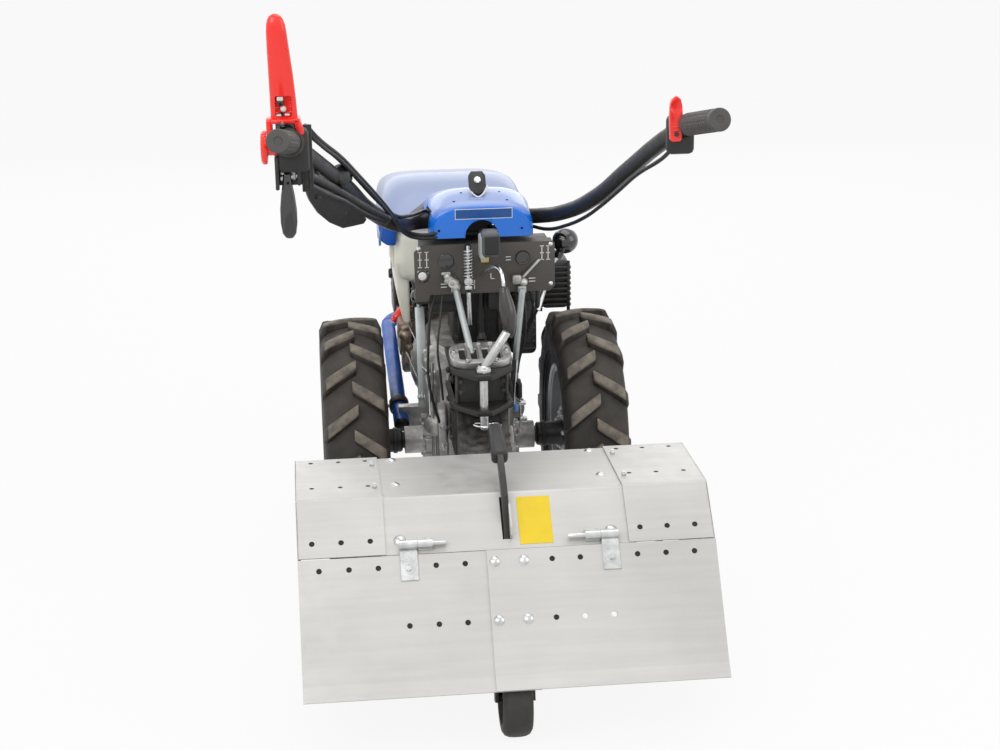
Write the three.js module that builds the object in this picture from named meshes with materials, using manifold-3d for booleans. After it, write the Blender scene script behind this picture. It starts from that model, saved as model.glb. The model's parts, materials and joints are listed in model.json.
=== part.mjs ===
// Walking tractor with a rear rotary tiller, in millimetres, +Z up.
// The machine drives towards +Y; the operator walks behind it, at -Y, and +X is the operator's right.
// Inside the "machine" group the axle centre is x = 0, y = 0 and the floor is z = 0. The group is then
// shifted so that the origin is at the middle of the underside of the whole machine's box.
import * as THREE from 'three';
import { RoundedBoxGeometry } from 'three/addons/geometries/RoundedBoxGeometry.js';
import { mergeVertices } from 'three/addons/utils/BufferGeometryUtils.js';
import Module from 'manifold-3d';

const wasm = await Module();
wasm.setup();

// ---------------------------------------------------------------- driving dimensions

const SEAT = 0.3; // gap left between two pieces that touch
const BOX_SHIFT_X = 8; // from the axle centre to the middle of the whole machine's box
const BOX_SHIFT_Y = 138;

const TYRE_RADIUS = 255; // 5.00-10 tractor tyre
const TYRE_WIDTH = 128;
const TRACK = 470;
const RIM_RADIUS = 132;
const RIM_WIDTH = 106;
const RIM_FLANGE = 12; // height of the rim's edge
const WHEEL_SIDES = 48; // tyre and rim share their facets, so that one seats in the other
const HUB_RADIUS = 24;
const HUB_FLANGE_RADIUS = 58;
const AXLE_TUBE_RADIUS = 28;
const AXLE_NECK_RADIUS = 46;
const AXLE_Z = TYRE_RADIUS;
const AXLE_SHAFT_RADIUS = 17;
const AXLE_HOUSING_REACH = 133; // from the middle to each end of the housing
const DISC_OFFSET = 30; // the wheel disc lies inside the wheel's middle plane

const GEARBOX_HALF = 76;
const GEARBOX_REAR = -150;
const GEARBOX_FRONT = 130;
const GEARBOX_TOP = 480;
const CRANK_Z = 360;
const BELL_RADIUS = 108;
const BELL_FRONT = 200;
const ENGINE = { left: -112, right: 84, front: 470, bottom: 285, top: 556 };
const RECOIL_RADIUS = 96;
const RECOIL_DEPTH = 62;

const HITCH_HALF = 58;
const HITCH_REAR = -306;
const HITCH_TOP = 497;
const HITCH_LOW_PLATE = 428;
const HITCH_PLATE = 11;
const HITCH_APEX = -352;
const PIN_Y = -332;
const PIN_RADIUS = 8.5;
const PIN_END = 384;

const COLUMN = { x: 15, y: -40, radius: 27, foot: 600 }; // the handlebar turns about this column
const TILT_Z = 735; // the handlebar tilts about a pin at this height
const TILT_PIN_RADIUS = 8;
const HEAD = { left: -76, right: 106, inner: 46, bottom: 716, top: 756, rear: -122, front: 35 };
const COWL = { left: -85, right: 115, rear: -155, front: 42, bottom: 712, top: 812, wall: 4 };
const ARCH_HALF = 32;
const CONSOLE = { left: -113, right: 158, y: -152, thick: 4, bottom: 602, top: 700 };

const HOOD_WIDTH = 710;
const HOOD_CENTRE_WIDTH = 430;
const HOOD_LAP = 8;
const SHEET = 3;
const HOOD_FRONT = { y: -435, z: 375 };
const HOOD_BEND = { y: -647, z: 381 };
const HINGE_LINE = { y: -723, z: 307 };
const FLAP_FOLD = { y: -848, z: 132 };
const FLAP_END = { y: -866, z: 113 };
const FLAP_SEAM = -38;
const FLAP_LAP = 76;
const HINGE_ABOVE = 14; // the hinge pin lies this far up the back plate from its lower edge
const HINGE_PROUD = 9; // and this far off its face
const HINGE_PIN_RADIUS = 4;
const HINGES = [ // along X: the flap's leaf, the hood's knuckle and the pin's free tip
  { name: 'left', leaf: [-184, -154], knuckle: [-153.4, -128], pin: [-184, -105] },
  { name: 'right', leaf: [158, 188], knuckle: [131, 157.4], pin: [102, 188] },
];

const ROTOR = { y: -575, z: 190, radius: 163, reach: 326, shaft: 19 };
const TILLER_CASE_HALF = 30;
const TINE_FLANGES = [80, 185, 290];
const SLOT = { low: 17, high: 96, half: 8 }; // the depth lever's slot: along the back plate, above its lower edge
const DEPTH_BAR = 5; // half the thickness of the depth lever's bar
const DEPTH_WHEEL = { y: -796, radius: 68, width: 50, pin: 8 };

const GRIP_RADIUS = 18;
const LEFT_GRIP = { x: -336, y: -778, z: 1022, end: [-352, -900, 1047] };
const RIGHT_GRIP = { x: 285, y: -778, z: 1030, end: [308, -900, 1058] };

const RAIL_RADIUS = 16;
const RAIL = { left: -135, right: 104, rear: 60, front: 556, rearZ: 268, slope: 0.145 };
const BOW_FRONT = 622;

const BONNET = { left: -170, right: 144, rear: 96, front: 566, bottom: 596, top: 783, wall: 5 };

// ---------------------------------------------------------------- materials

const paint = (name, color, roughness = 0.5, metalness = 0) => {
  const material = new THREE.MeshStandardMaterial({ color, roughness, metalness });
  material.name = name;
  return material;
};
const MATERIALS = {
  blue: paint('blue_plastic', 0x1d63c4, 0.25),
  cream: paint('cream_tank', 0xd9d5c4, 0.4),
  sheet: paint('bare_sheet', 0xb9bab8, 0.35, 0.9),
  zinc: paint('zinc_plate', 0xb4b8ba, 0.35, 0.9),
  alloy: paint('cast_alloy', 0x8f8d88, 0.5, 0.8),
  iron: paint('black_iron', 0x1c1d1e, 0.5, 0.3),
  engine: paint('engine_metal', 0x4b4844, 0.5, 0.6),
  console: paint('console_grey', 0x4a443e, 0.6),
  black: paint('black_plastic', 0x17181a, 0.45),
  rubber: paint('tyre_rubber', 0x35302b, 0.9),
  grip: paint('grip_rubber', 0x3b3b3d, 0.8),
  red: paint('red_plastic', 0xd8241f, 0.35),
  tines: paint('tine_steel', 0x24272b, 0.5, 0.4),
};

// ---------------------------------------------------------------- solids

function bare(geometry) {
  const loose = geometry.index ? geometry.toNonIndexed() : geometry.clone();
  for (const name of Object.keys(loose.attributes)) {
    if (name !== 'position') loose.deleteAttribute(name);
  }
  const spots = loose.attributes.position;
  for (let i = 0; i < spots.array.length; i += 1) spots.array[i] = Math.round(spots.array[i] * 512) / 512;
  const merged = mergeVertices(loose, 1e-4);
  const corners = merged.index.array;
  const kept = [];
  for (let i = 0; i < corners.length; i += 3) {
    const [a, b, c] = corners.slice(i, i + 3);
    if (a !== b && b !== c && c !== a) kept.push(a, b, c);
  }
  merged.setIndex(kept);
  return merged;
}

function signedVolume(geometry) {
  const spots = geometry.attributes.position;
  const corners = geometry.index.array;
  const [a, b, c] = [new THREE.Vector3(), new THREE.Vector3(), new THREE.Vector3()];
  let total = 0;
  for (let i = 0; i < corners.length; i += 3) {
    a.fromBufferAttribute(spots, corners[i]);
    b.fromBufferAttribute(spots, corners[i + 1]);
    c.fromBufferAttribute(spots, corners[i + 2]);
    total += a.dot(b.cross(c));
  }
  return total;
}

function outward(geometry) {
  const clean = bare(geometry);
  if (signedVolume(clean) < 0) {
    const flipped = Array.from(clean.index.array);
    for (let i = 0; i < flipped.length; i += 3) {
      [flipped[i + 1], flipped[i + 2]] = [flipped[i + 2], flipped[i + 1]];
    }
    clean.setIndex(flipped);
  }
  return clean;
}

function solid(geometry) {
  const clean = outward(geometry);
  return new wasm.Manifold(new wasm.Mesh({
    numProp: 3,
    vertProperties: new Float32Array(clean.attributes.position.array),
    triVerts: new Uint32Array(clean.index.array),
  }));
}

function shell(manifold) {
  const mesh = manifold.getMesh();
  const geometry = new THREE.BufferGeometry();
  geometry.setAttribute('position', new THREE.BufferAttribute(new Float32Array(mesh.vertProperties), 3));
  geometry.setIndex(new THREE.BufferAttribute(new Uint32Array(mesh.triVerts), 1));
  return geometry;
}

const join = (...parts) => shell(parts.map(solid).reduce((all, next) => all.add(next)));
const cut = (body, ...tools) => shell(tools.map(solid).reduce((left, tool) => left.subtract(tool), solid(body)));
const common = (one, other) => shell(solid(one).intersect(solid(other)));
const moved = (geometry, x, y, z) => geometry.clone().translate(x, y, z);

// an outline of [across, up] points, drawn out from low to high along the third direction
function drawnOut(points, low, high, bevel, basis) {
  const outline = new THREE.Shape(points.map(([u, v]) => new THREE.Vector2(u, v)));
  const geometry = new THREE.ExtrudeGeometry(outline, {
    depth: high - low - 2 * bevel,
    bevelEnabled: bevel > 0,
    bevelSize: bevel,
    bevelThickness: bevel,
    bevelOffset: -bevel,
    bevelSegments: bevel > 12 ? 3 : 1,
    steps: 1,
  });
  geometry.translate(0, 0, low + bevel);
  geometry.applyMatrix4(basis);
  return geometry;
}

const axes = (u, v, w) => new THREE.Matrix4().makeBasis(
  new THREE.Vector3(...u), new THREE.Vector3(...v), new THREE.Vector3(...w));
const ALONG_X = axes([0, 1, 0], [0, 0, 1], [1, 0, 0]);
const ALONG_Y = axes([1, 0, 0], [0, 0, 1], [0, 1, 0]);
const ALONG_Z = axes([1, 0, 0], [0, 1, 0], [0, 0, 1]);

const sideOutline = (points, xLow, xHigh, bevel = 0) => drawnOut(points, xLow, xHigh, bevel, ALONG_X);
const faceOutline = (points, yLow, yHigh, bevel = 0) => drawnOut(points, yLow, yHigh, bevel, ALONG_Y);
const planOutline = (points, zLow, zHigh, bevel = 0) => drawnOut(points, zLow, zHigh, bevel, ALONG_Z);

function block(xLow, xHigh, yLow, yHigh, zLow, zHigh) {
  const geometry = new THREE.BoxGeometry(xHigh - xLow, yHigh - yLow, zHigh - zLow);
  return geometry.translate((xLow + xHigh) / 2, (yLow + yHigh) / 2, (zLow + zHigh) / 2);
}

function softBlock(xLow, xHigh, yLow, yHigh, zLow, zHigh, radius, segments = 3) {
  const geometry = new RoundedBoxGeometry(xHigh - xLow, yHigh - yLow, zHigh - zLow, segments, radius);
  return geometry.translate((xLow + xHigh) / 2, (yLow + yHigh) / 2, (zLow + zHigh) / 2);
}

// a profile of [radius, along] points turned about an axis through the origin
function turned(profile, axis, segments = 24) {
  const geometry = new THREE.LatheGeometry(profile.map(([r, h]) => new THREE.Vector2(r, h)), segments);
  if (axis === 'x') geometry.rotateZ(-Math.PI / 2);
  if (axis === 'z') geometry.rotateX(Math.PI / 2);
  return geometry;
}

const rod = (axis, radius, low, high, segments = 20) =>
  turned([[0, low], [radius, low], [radius, high], [0, high]], axis, segments);

const ringProfile = (inner, outer, low, high) => [
  [inner, low], [outer, low], [outer, high], [inner, high], [inner, low]];

function sectionOf(width, height, sides) {
  const points = [];
  for (let i = 0; i < sides; i += 1) {
    const turn = ((i + 0.5) / sides) * 2 * Math.PI;
    points.push(new THREE.Vector2((width / 2) * Math.cos(turn), (height / 2) * Math.sin(turn)));
  }
  return new THREE.Shape(points);
}

// a bar of round or oval section along a smooth curve through the given points
function along(points, width, height = width, { sides = 12, steps = 24 } = {}) {
  const path = new THREE.CatmullRomCurve3(points.map((p) => new THREE.Vector3(...p)), false, 'centripetal');
  return new THREE.ExtrudeGeometry(sectionOf(width, height, sides), { steps, extrudePath: path, bevelEnabled: false });
}

// a straight round bar from one point to another
function straight(from, to, radius, sides = 12) {
  const start = new THREE.Vector3(...from);
  const reach = new THREE.Vector3(...to).sub(start);
  const geometry = new THREE.CylinderGeometry(radius, radius, reach.length(), sides);
  geometry.translate(0, reach.length() / 2, 0);
  const turn = new THREE.Quaternion().setFromUnitVectors(new THREE.Vector3(0, 1, 0), reach.normalize());
  return geometry.applyQuaternion(turn).translate(...from);
}

function ball(x, y, z, radius, segments = 16) {
  const geometry = new THREE.SphereGeometry(radius, segments, segments - 4);
  return geometry.translate(x, y, z);
}

// ---------------------------------------------------------------- the tree

const machine = new THREE.Group();
machine.position.set(BOX_SHIFT_X, BOX_SHIFT_Y, 0);

function place(name, geometry, material, x = 0, y = 0, z = 0) {
  const mesh = new THREE.Mesh(outward(geometry), material);
  mesh.name = name;
  mesh.position.set(x, y, z);
  machine.add(mesh);
  return mesh;
}

// ---------------------------------------------------------------- drive wheels

function tyreGeometry() {
  const half = TYRE_WIDTH / 2;
  const bead = RIM_WIDTH / 2 - 6;
  const seat = RIM_RADIUS + SEAT;
  const outer = [
    [seat, bead], [RIM_RADIUS + RIM_FLANGE + 2, bead], [RIM_RADIUS + 44, half],
    [TYRE_RADIUS - 30, half], [TYRE_RADIUS, half - 14],
  ];
  const inner = outer.map(([r, h]) => [r, -h]).reverse();
  return turned([...outer, ...inner, outer[0]], 'x', WHEEL_SIDES);
}

function rimGeometry(side) {
  const half = RIM_WIDTH / 2;
  const lip = half - 5.5;
  const edge = RIM_RADIUS + RIM_FLANGE;
  const wall = 5;
  const disc = -side * DISC_OFFSET;
  const profile = [
    [edge, half], [edge, lip], [RIM_RADIUS, lip], [RIM_RADIUS, -lip], [edge, -lip], [edge, -half],
    [RIM_RADIUS - wall, -half],
    [RIM_RADIUS - wall, disc - wall / 2],
    [AXLE_SHAFT_RADIUS + 8, disc - wall / 2], [AXLE_SHAFT_RADIUS + 8, disc + wall / 2],
    [RIM_RADIUS - wall, disc + wall / 2], [RIM_RADIUS - wall, half], [edge, half],
  ];
  return turned(profile, 'x', WHEEL_SIDES);
}

function hubGeometry(side) {
  const centre = (side * TRACK) / 2;
  const discInner = centre - side * (DISC_OFFSET + 2.5 + SEAT);
  const inboard = side * (AXLE_HOUSING_REACH + 5);
  const shaftEnd = side * (AXLE_HOUSING_REACH - 36);
  return turned([
    [0, shaftEnd], [AXLE_SHAFT_RADIUS, shaftEnd], [AXLE_SHAFT_RADIUS, inboard], [HUB_RADIUS, inboard],
    [HUB_RADIUS, discInner - side * 10], [HUB_FLANGE_RADIUS, discInner - side * 10], [HUB_FLANGE_RADIUS, discInner],
    [AXLE_SHAFT_RADIUS + 7, discInner], [AXLE_SHAFT_RADIUS + 7, discInner + side * 16], [0, discInner + side * 16],
  ], 'x', 28);
}

function driveWheels() {
  for (const [name, side] of [['left', -1], ['right', 1]]) {
    const x = (side * TRACK) / 2;
    place(`${name}_tyre`, tyreGeometry(), MATERIALS.rubber, x, 0, AXLE_Z);
    place(`${name}_rim`, rimGeometry(side), MATERIALS.alloy, x, 0, AXLE_Z);
    place(`${name}_hub`, hubGeometry(side), MATERIALS.black, 0, 0, AXLE_Z);
  }
}

// ---------------------------------------------------------------- gearbox, engine and what stands on them

const railHeight = (y) => RAIL.rearZ + RAIL.slope * (y - RAIL.rear);
const railLine = (x, yLow, yHigh, radius) =>
  straight([x, yLow, railHeight(yLow)], [x, yHigh, railHeight(yHigh)], radius, 14);

// the cast gearbox with its axle tubes, bell housing and the clamps of the two guard rails
function gearbox() {
  const bottom = AXLE_Z - 86;
  const side = [
    [GEARBOX_REAR, bottom + 60], [GEARBOX_REAR + 50, bottom], [GEARBOX_FRONT - 70, bottom],
    [GEARBOX_FRONT, bottom + 50], [GEARBOX_FRONT, GEARBOX_TOP - 20], [GEARBOX_FRONT - 30, GEARBOX_TOP],
    [GEARBOX_REAR + 40, GEARBOX_TOP], [GEARBOX_REAR, GEARBOX_TOP - 30],
  ];
  const tube = moved(rod('x', AXLE_TUBE_RADIUS, -AXLE_HOUSING_REACH, AXLE_HOUSING_REACH, 24), 0, 0, AXLE_Z);
  const neck = moved(rod('x', AXLE_NECK_RADIUS, -GEARBOX_HALF - 16, GEARBOX_HALF + 16, 24), 0, 0, AXLE_Z);
  const bell = moved(turned([
    [0, GEARBOX_FRONT - 10], [62, GEARBOX_FRONT - 10], [80, GEARBOX_FRONT + 18], [BELL_RADIUS, BELL_FRONT - 14],
    [BELL_RADIUS, BELL_FRONT], [0, BELL_FRONT],
  ], 'y', 28), 0, 0, CRANK_Z);
  const clampY = 96;
  const clamps = [RAIL.left, RAIL.right].map((x) => {
    const [near, far] = [Math.sign(x) * (GEARBOX_HALF - 6), x + Math.sign(x) * 4];
    return block(Math.min(near, far), Math.max(near, far), clampY - 12, clampY + 12,
      railHeight(clampY) - RAIL_RADIUS - 8, railHeight(clampY) + RAIL_RADIUS + 8);
  });
  const bores = [-1, 1].map((side_) => moved(rod('x', AXLE_SHAFT_RADIUS + 0.6,
    side_ > 0 ? AXLE_HOUSING_REACH - 38 : -AXLE_HOUSING_REACH - 9,
    side_ > 0 ? AXLE_HOUSING_REACH + 9 : -AXLE_HOUSING_REACH + 38, 28), 0, 0, AXLE_Z));
  const rails = [RAIL.left, RAIL.right].map((x) => railLine(x, RAIL.rear - 40, RAIL.front, RAIL_RADIUS + SEAT));
  const body = join(sideOutline(side, -GEARBOX_HALF, GEARBOX_HALF, 8), tube, neck, bell, ...clamps);
  place('gearbox', cut(body, ...bores, ...rails), MATERIALS.alloy);
}

function engine() {
  const rear = BELL_FRONT + SEAT;
  const blockBody = softBlock(ENGINE.left, ENGINE.right, rear, ENGINE.front, ENGINE.bottom, ENGINE.top, 12, 1);
  const stay = common(block(-60, 60, ENGINE.front - 40, ENGINE.front - 32, ENGINE.top - 10, BONNET.top),
    bonnetForm(BONNET.wall + SEAT));
  place('engine_block', join(blockBody, stay), MATERIALS.engine);

  const recoilRear = ENGINE.front + SEAT;
  place('recoil_starter', turned([
    [0, recoilRear], [RECOIL_RADIUS, recoilRear], [RECOIL_RADIUS, recoilRear + 34],
    [RECOIL_RADIUS - 26, recoilRear + RECOIL_DEPTH], [0, recoilRear + RECOIL_DEPTH],
  ], 'y', 28), MATERIALS.black, (ENGINE.left + ENGINE.right) / 2, 0, CRANK_Z + 20);
}

function fuelTank() {
  const floor = ENGINE.top + SEAT;
  const body = softBlock(-152, 70, 106, 330, floor, floor + 112, 22, 2);
  const lobe = faceOutline([
    [-152, floor + 40], [-118, floor + 40], [ENGINE.left - SEAT, floor - 10], [ENGINE.left - SEAT, floor - 86],
    [ENGINE.left - 14, floor - 92], [-138, floor - 60],
  ], 112, 300, 4);
  const cap = moved(rod('z', 26, floor + 100, floor + 130, 16), -60, 250, 0);
  place('fuel_tank', join(body, lobe, cap), MATERIALS.cream);
}

function muffler() {
  const left = ENGINE.right + SEAT;
  const low = 478;
  place('muffler', join(
    block(left, left + 60, 285, 315, low + 20, low + 50),
    block(left + 50, left + 90, 200, 315, low + 20, low + 50),
    softBlock(160, 230, 120, 240, low, 592, 14, 2)), MATERIALS.iron);
}

function airCleaner() {
  const outer = ENGINE.left - SEAT;
  place('air_cleaner', join(
    softBlock(outer - 34, outer, 336, 440, 420, 540, 14, 1),
    softBlock(outer - 26, outer, 236, 340, 362, 452, 8, 1)), MATERIALS.black);
}

// a closed bonnet form: wide rounded crown, falling towards the front
function bonnetForm(shrink) {
  const wide = (BONNET.right - BONNET.left) / 2 - shrink;
  const middle = (BONNET.right + BONNET.left) / 2;
  const high = BONNET.top - BONNET.bottom;
  const points = [];
  const steps = 20;
  for (let i = 0; i <= steps; i += 1) {
    const turn = Math.PI * (i / steps);
    const power = 2 / 4.2;
    const across = Math.sign(Math.cos(turn)) * Math.abs(Math.cos(turn)) ** power * wide;
    points.push([middle + across, BONNET.bottom + Math.sin(turn) ** power * (high - shrink)]);
  }
  points.push([middle - wide, BONNET.bottom - 60], [middle + wide, BONNET.bottom - 60]);
  const bevel = 44;
  const form = faceOutline(points, BONNET.rear - 60 + shrink, BONNET.front - shrink, bevel - shrink / 2);
  const spots = form.attributes.position;
  for (let i = 0; i < spots.count; i += 1) {
    const ahead = Math.max(0, spots.getY(i) - BONNET.rear) / (BONNET.front - BONNET.rear);
    const lift = spots.getZ(i) - BONNET.bottom;
    spots.setZ(i, BONNET.bottom + lift * (1 - 0.42 * ahead ** 1.4));
    spots.setX(i, middle + (spots.getX(i) - middle) * (1 - 0.1 * ahead));
  }
  return form;
}

function bonnet() {
  const far = 400;
  const skin = cut(bonnetForm(0), bonnetForm(BONNET.wall));
  const rearCut = block(-far, far, BONNET.rear - 200, BONNET.rear, 0, 1200);
  const floorCut = sideOutline([
    [BONNET.rear - 200, BONNET.bottom + 40], [BONNET.rear + 60, BONNET.bottom + 40], [BONNET.rear + 150, BONNET.bottom],
    [BONNET.front - 90, BONNET.bottom - 20], [BONNET.front + 100, BONNET.bottom - 30], [BONNET.front + 100, 0],
    [BONNET.rear - 200, 0],
  ], -far, far);
  place('bonnet', cut(skin, rearCut, floorCut), MATERIALS.blue);
}

function bumper() {
  for (const [name, x] of [['left', RAIL.left], ['right', RAIL.right]]) {
    place(`${name}_rail`, railLine(x, RAIL.rear, RAIL.front, RAIL_RADIUS), MATERIALS.blue);
  }
  const z = railHeight(RAIL.front);
  const start = RAIL.front + 3;
  const bend = 44;
  const bowY = BOW_FRONT - RAIL_RADIUS;
  const bow = along([
    [RAIL.left, start, z], [RAIL.left + 3, start + 14, z + 2], [RAIL.left + bend * 0.45, bowY - 12, z + 6],
    [RAIL.left + bend * 1.4, bowY, z + 7], [RAIL.right - bend * 1.4, bowY, z + 7],
    [RAIL.right - bend * 0.45, bowY - 12, z + 6], [RAIL.right - 3, start + 14, z + 2], [RAIL.right, start, z],
  ], RAIL_RADIUS * 2, RAIL_RADIUS * 2, { sides: 14, steps: 28 });
  const plateFront = BOW_FRONT - 3;
  const middle = (RAIL.left + RAIL.right) / 2;
  const plate = block(middle - 70, middle + 70, plateFront, plateFront + 9, z - 48, z + 54);
  place('front_bow', cut(join(bow, plate), ...[RAIL.left, RAIL.right].map((x) =>
    railLine(x, RAIL.front - 30, RAIL.front + SEAT, RAIL_RADIUS + 3))), MATERIALS.blue);
}

// ---------------------------------------------------------------- rear hitch

function hitch() {
  const rear = GEARBOX_REAR - SEAT;
  const body = block(-HITCH_HALF + 8, HITCH_HALF - 8, HITCH_REAR + 14, rear, 306, HITCH_TOP - HITCH_PLATE);
  const plateAt = (zHigh) => planOutline([
    [-HITCH_HALF, rear], [-HITCH_HALF, HITCH_REAR], [-14, HITCH_APEX], [14, HITCH_APEX],
    [HITCH_HALF, HITCH_REAR], [HITCH_HALF, rear],
  ], zHigh - HITCH_PLATE, zHigh);
  const hole = moved(rod('z', PIN_RADIUS + SEAT, PIN_END - 20, HITCH_TOP + 20), 0, PIN_Y, 0);
  place('hitch_housing', cut(join(body, plateAt(HITCH_TOP), plateAt(HITCH_LOW_PLATE)), hole), MATERIALS.iron);

  const collar = moved(rod('z', 15, HITCH_TOP + SEAT, HITCH_TOP + 9), 0, PIN_Y, 0);
  const shank = moved(rod('z', PIN_RADIUS, PIN_END, HITCH_TOP + 4), 0, PIN_Y, 0);
  const handle = straight([0, PIN_Y, HITCH_TOP + 6], [44, PIN_Y - 4, HITCH_TOP + 78], 8.5);
  place('hitch_pin', join(shank, collar, handle), MATERIALS.zinc);
}

// an inclined ring cover on top of the hitch housing, with the left selector standing in it
const GATE_Y = -262;
const SELECTOR_FOOT = [-17, GATE_Y + 14, HITCH_TOP + 4];

function gateRing() {
  const ring = turned(ringProfile(38, 58, 0, 12), 'z', 32);
  const spokes = join(block(-50, 50, -5, 5, 2, 10), block(-5, 5, -50, 50, 2, 10), ring);
  spokes.scale(1, 0.72, 1);
  spokes.rotateX(THREE.MathUtils.degToRad(10));
  const foot = moved(rod('z', 14, 0, 60), 0, 0, -56);
  const whole = moved(join(spokes, foot), 0, GATE_Y, HITCH_TOP + 8);
  const below = block(-90, 90, -340, 0, 300, HITCH_TOP + SEAT);
  const notch = straight(SELECTOR_FOOT, [-36, CONSOLE.y - CONSOLE.thick - 10, 618], 10, 10);
  place('gate_ring', cut(whole, below, notch, block(-90, 90, GEARBOX_REAR - 6, 0, 300, GEARBOX_TOP + SEAT)), MATERIALS.zinc);
}

// ---------------------------------------------------------------- levers at the console

function columnBase() {
  const body = softBlock(COLUMN.x - 52, COLUMN.x + 52, -96, 40, GEARBOX_TOP + SEAT, COLUMN.foot, 10, 1);
  const strutTop = CONSOLE.top - 6;
  const strut = sideOutline([
    [CONSOLE.y + SEAT, CONSOLE.bottom + 6], [-90, COLUMN.foot - 70], [-90, COLUMN.foot - 20],
    [CONSOLE.y + 24, CONSOLE.bottom + 40], [CONSOLE.y + 8, strutTop], [CONSOLE.y + SEAT, strutTop],
  ], COLUMN.x - 48, COLUMN.x - 40);
  place('column_base', join(body, strut, moved(strut, 88, 0, 0)), MATERIALS.iron);
}

function consolePanel() {
  const { left, right, bottom, top, y, thick } = CONSOLE;
  const plate = faceOutline([
    [left, bottom - 14], [left + 24, bottom - 14], [left + 24, bottom], [right - 10, bottom], [right, bottom + 10],
    [right, top - 3], [right - 3, top], [left + 14, top], [left, top - 14],
  ], y - thick, y);
  place('console_panel', plate, MATERIALS.console);
}

function levers() {
  const front = CONSOLE.y - CONSOLE.thick - SEAT;
  const panel = CONSOLE.y + SEAT;

  // main gear lever: up between the column and the panel, then back through the cowl's arch
  const gearRod = along([
    [18, -118, GEARBOX_TOP + SEAT], [18, -118, 560], [18, -120, 640], [18, -124, 690], [19, -138, 718],
    [22, -170, 724], [25, -206, 718],
  ], 12, 12, { sides: 8, steps: 22 });
  const gearKnob = softBlock(8, 44, -252, -204, 694, 742, 10, 2);
  const gearFlange = block(8, 28, -126, -99, GEARBOX_TOP + SEAT, GEARBOX_TOP + 9);
  place('gear_lever', join(gearRod, gearKnob, gearFlange), MATERIALS.iron);

  // selector rod with its coil spring, in front of the panel
  const spindle = join(rod('z', 4, 618, 640), rod('z', 7.5, 640, 700), rod('z', 4, 700, 704));
  const lug = block(-10, 10, 0, 28, 618, 626);
  place('spring_rod', moved(join(spindle, lug), -12, front - 28, 0), MATERIALS.zinc);

  // bent rod with a long hanging grip
  const hook = along([
    [16, front - 1, 640], [18, front - 22, 648], [30, front - 60, 668], [42, front - 84, 668], [46, front - 92, 650],
    [47, front - 94, 636],
  ], 7, 7, { sides: 8, steps: 18 });
  const grip = along([
    [47.2, front - 94.4, 640.4], [51, front - 98, 610], [57, front - 104, 570], [61, front - 108, 541],
  ], 32, 32, { sides: 14, steps: 6 });
  place('hook_lever', cut(join(hook, grip), block(-20, 60, front, front + 40, 600, 700)), MATERIALS.grip);

  // big ball knob on its cranked rod
  const ptoRod = along([
    [126, CONSOLE.y + 6, 560], [140, -128, 600], [152, -118, 636], [166, -112, 655], [176, -110, 664],
  ], 10, 10, { sides: 8, steps: 12 });
  const ptoFoot = block(112, 138, panel, CONSOLE.y + 16, 606, 640);
  place('pto_lever', join(ptoRod, ptoFoot, straight([126, CONSOLE.y + 8, 560], [126, CONSOLE.y + 8, 620], 5),
    ball(185, -108, 688, 25.5)), MATERIALS.iron);

  // small ball knob on a flat strip at the left of the gearbox
  const stripX = -GEARBOX_HALF - 24;
  place('lock_lever', join(
    sideOutline([[-96, 356], [-66, 352], [-30, 546], [-50, 548]], stripX, stripX + 6),
    straight([stripX + 3, -80, 372], [-GEARBOX_HALF - SEAT, -80, 372], 7),
    straight([stripX + 3, -41, 530], [stripX - 1, -38, 560], 4),
    ball(stripX - 2, -37, 570, 13)), MATERIALS.zinc);

  // two flat selector levers rising from the gearbox's back to the panel's lower edge
  for (const [name, from, to] of [
    ['left_selector', SELECTOR_FOOT, [-36, front - 10, 618]],
    ['right_selector', [GEARBOX_HALF - 4, GEARBOX_REAR - 10, 392], [93, front - 14, 612]],
  ]) {
    const bar = straight(from, to, 7, 8);
    const tab = block(to[0] - 8, to[0] + 8, to[1], front, to[2] - 10, to[2] + 4);
    place(name, join(bar, tab), MATERIALS.zinc);
  }
}

// ---------------------------------------------------------------- handlebar

function column() {
  const { x, y, radius, foot } = COLUMN;
  const post = moved(rod('z', radius, foot + SEAT, HEAD.bottom - 22, 24), x, y, 0);
  const tongue = block(x - HEAD.inner / 2, x + HEAD.inner / 2, y - 24, y + 24, HEAD.bottom - 40, TILT_Z + 16);
  const bore = moved(rod('x', TILT_PIN_RADIUS + SEAT, x - 60, x + 60), 0, y, TILT_Z);
  place('steering_column', cut(join(post, tongue), bore), MATERIALS.iron);
}

function cowlForm(shrink) {
  const { left, right, rear, front, bottom, top } = COWL;
  const middle = (left + right) / 2;
  const half = (right - left) / 2 - shrink;
  const points = [];
  const steps = 18;
  for (let i = 0; i <= steps; i += 1) {
    const turn = Math.PI * (i / steps);
    const power = 2 / 2.5;
    const across = Math.sign(Math.cos(turn)) * Math.abs(Math.cos(turn)) ** power * half;
    points.push([middle + across, bottom + Math.sin(turn) ** power * (top - bottom - shrink)]);
  }
  points.push([middle - half, bottom - 60], [middle + half, bottom - 60]);
  return faceOutline(points, rear + shrink, front - shrink, 26 - shrink / 2);
}

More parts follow.
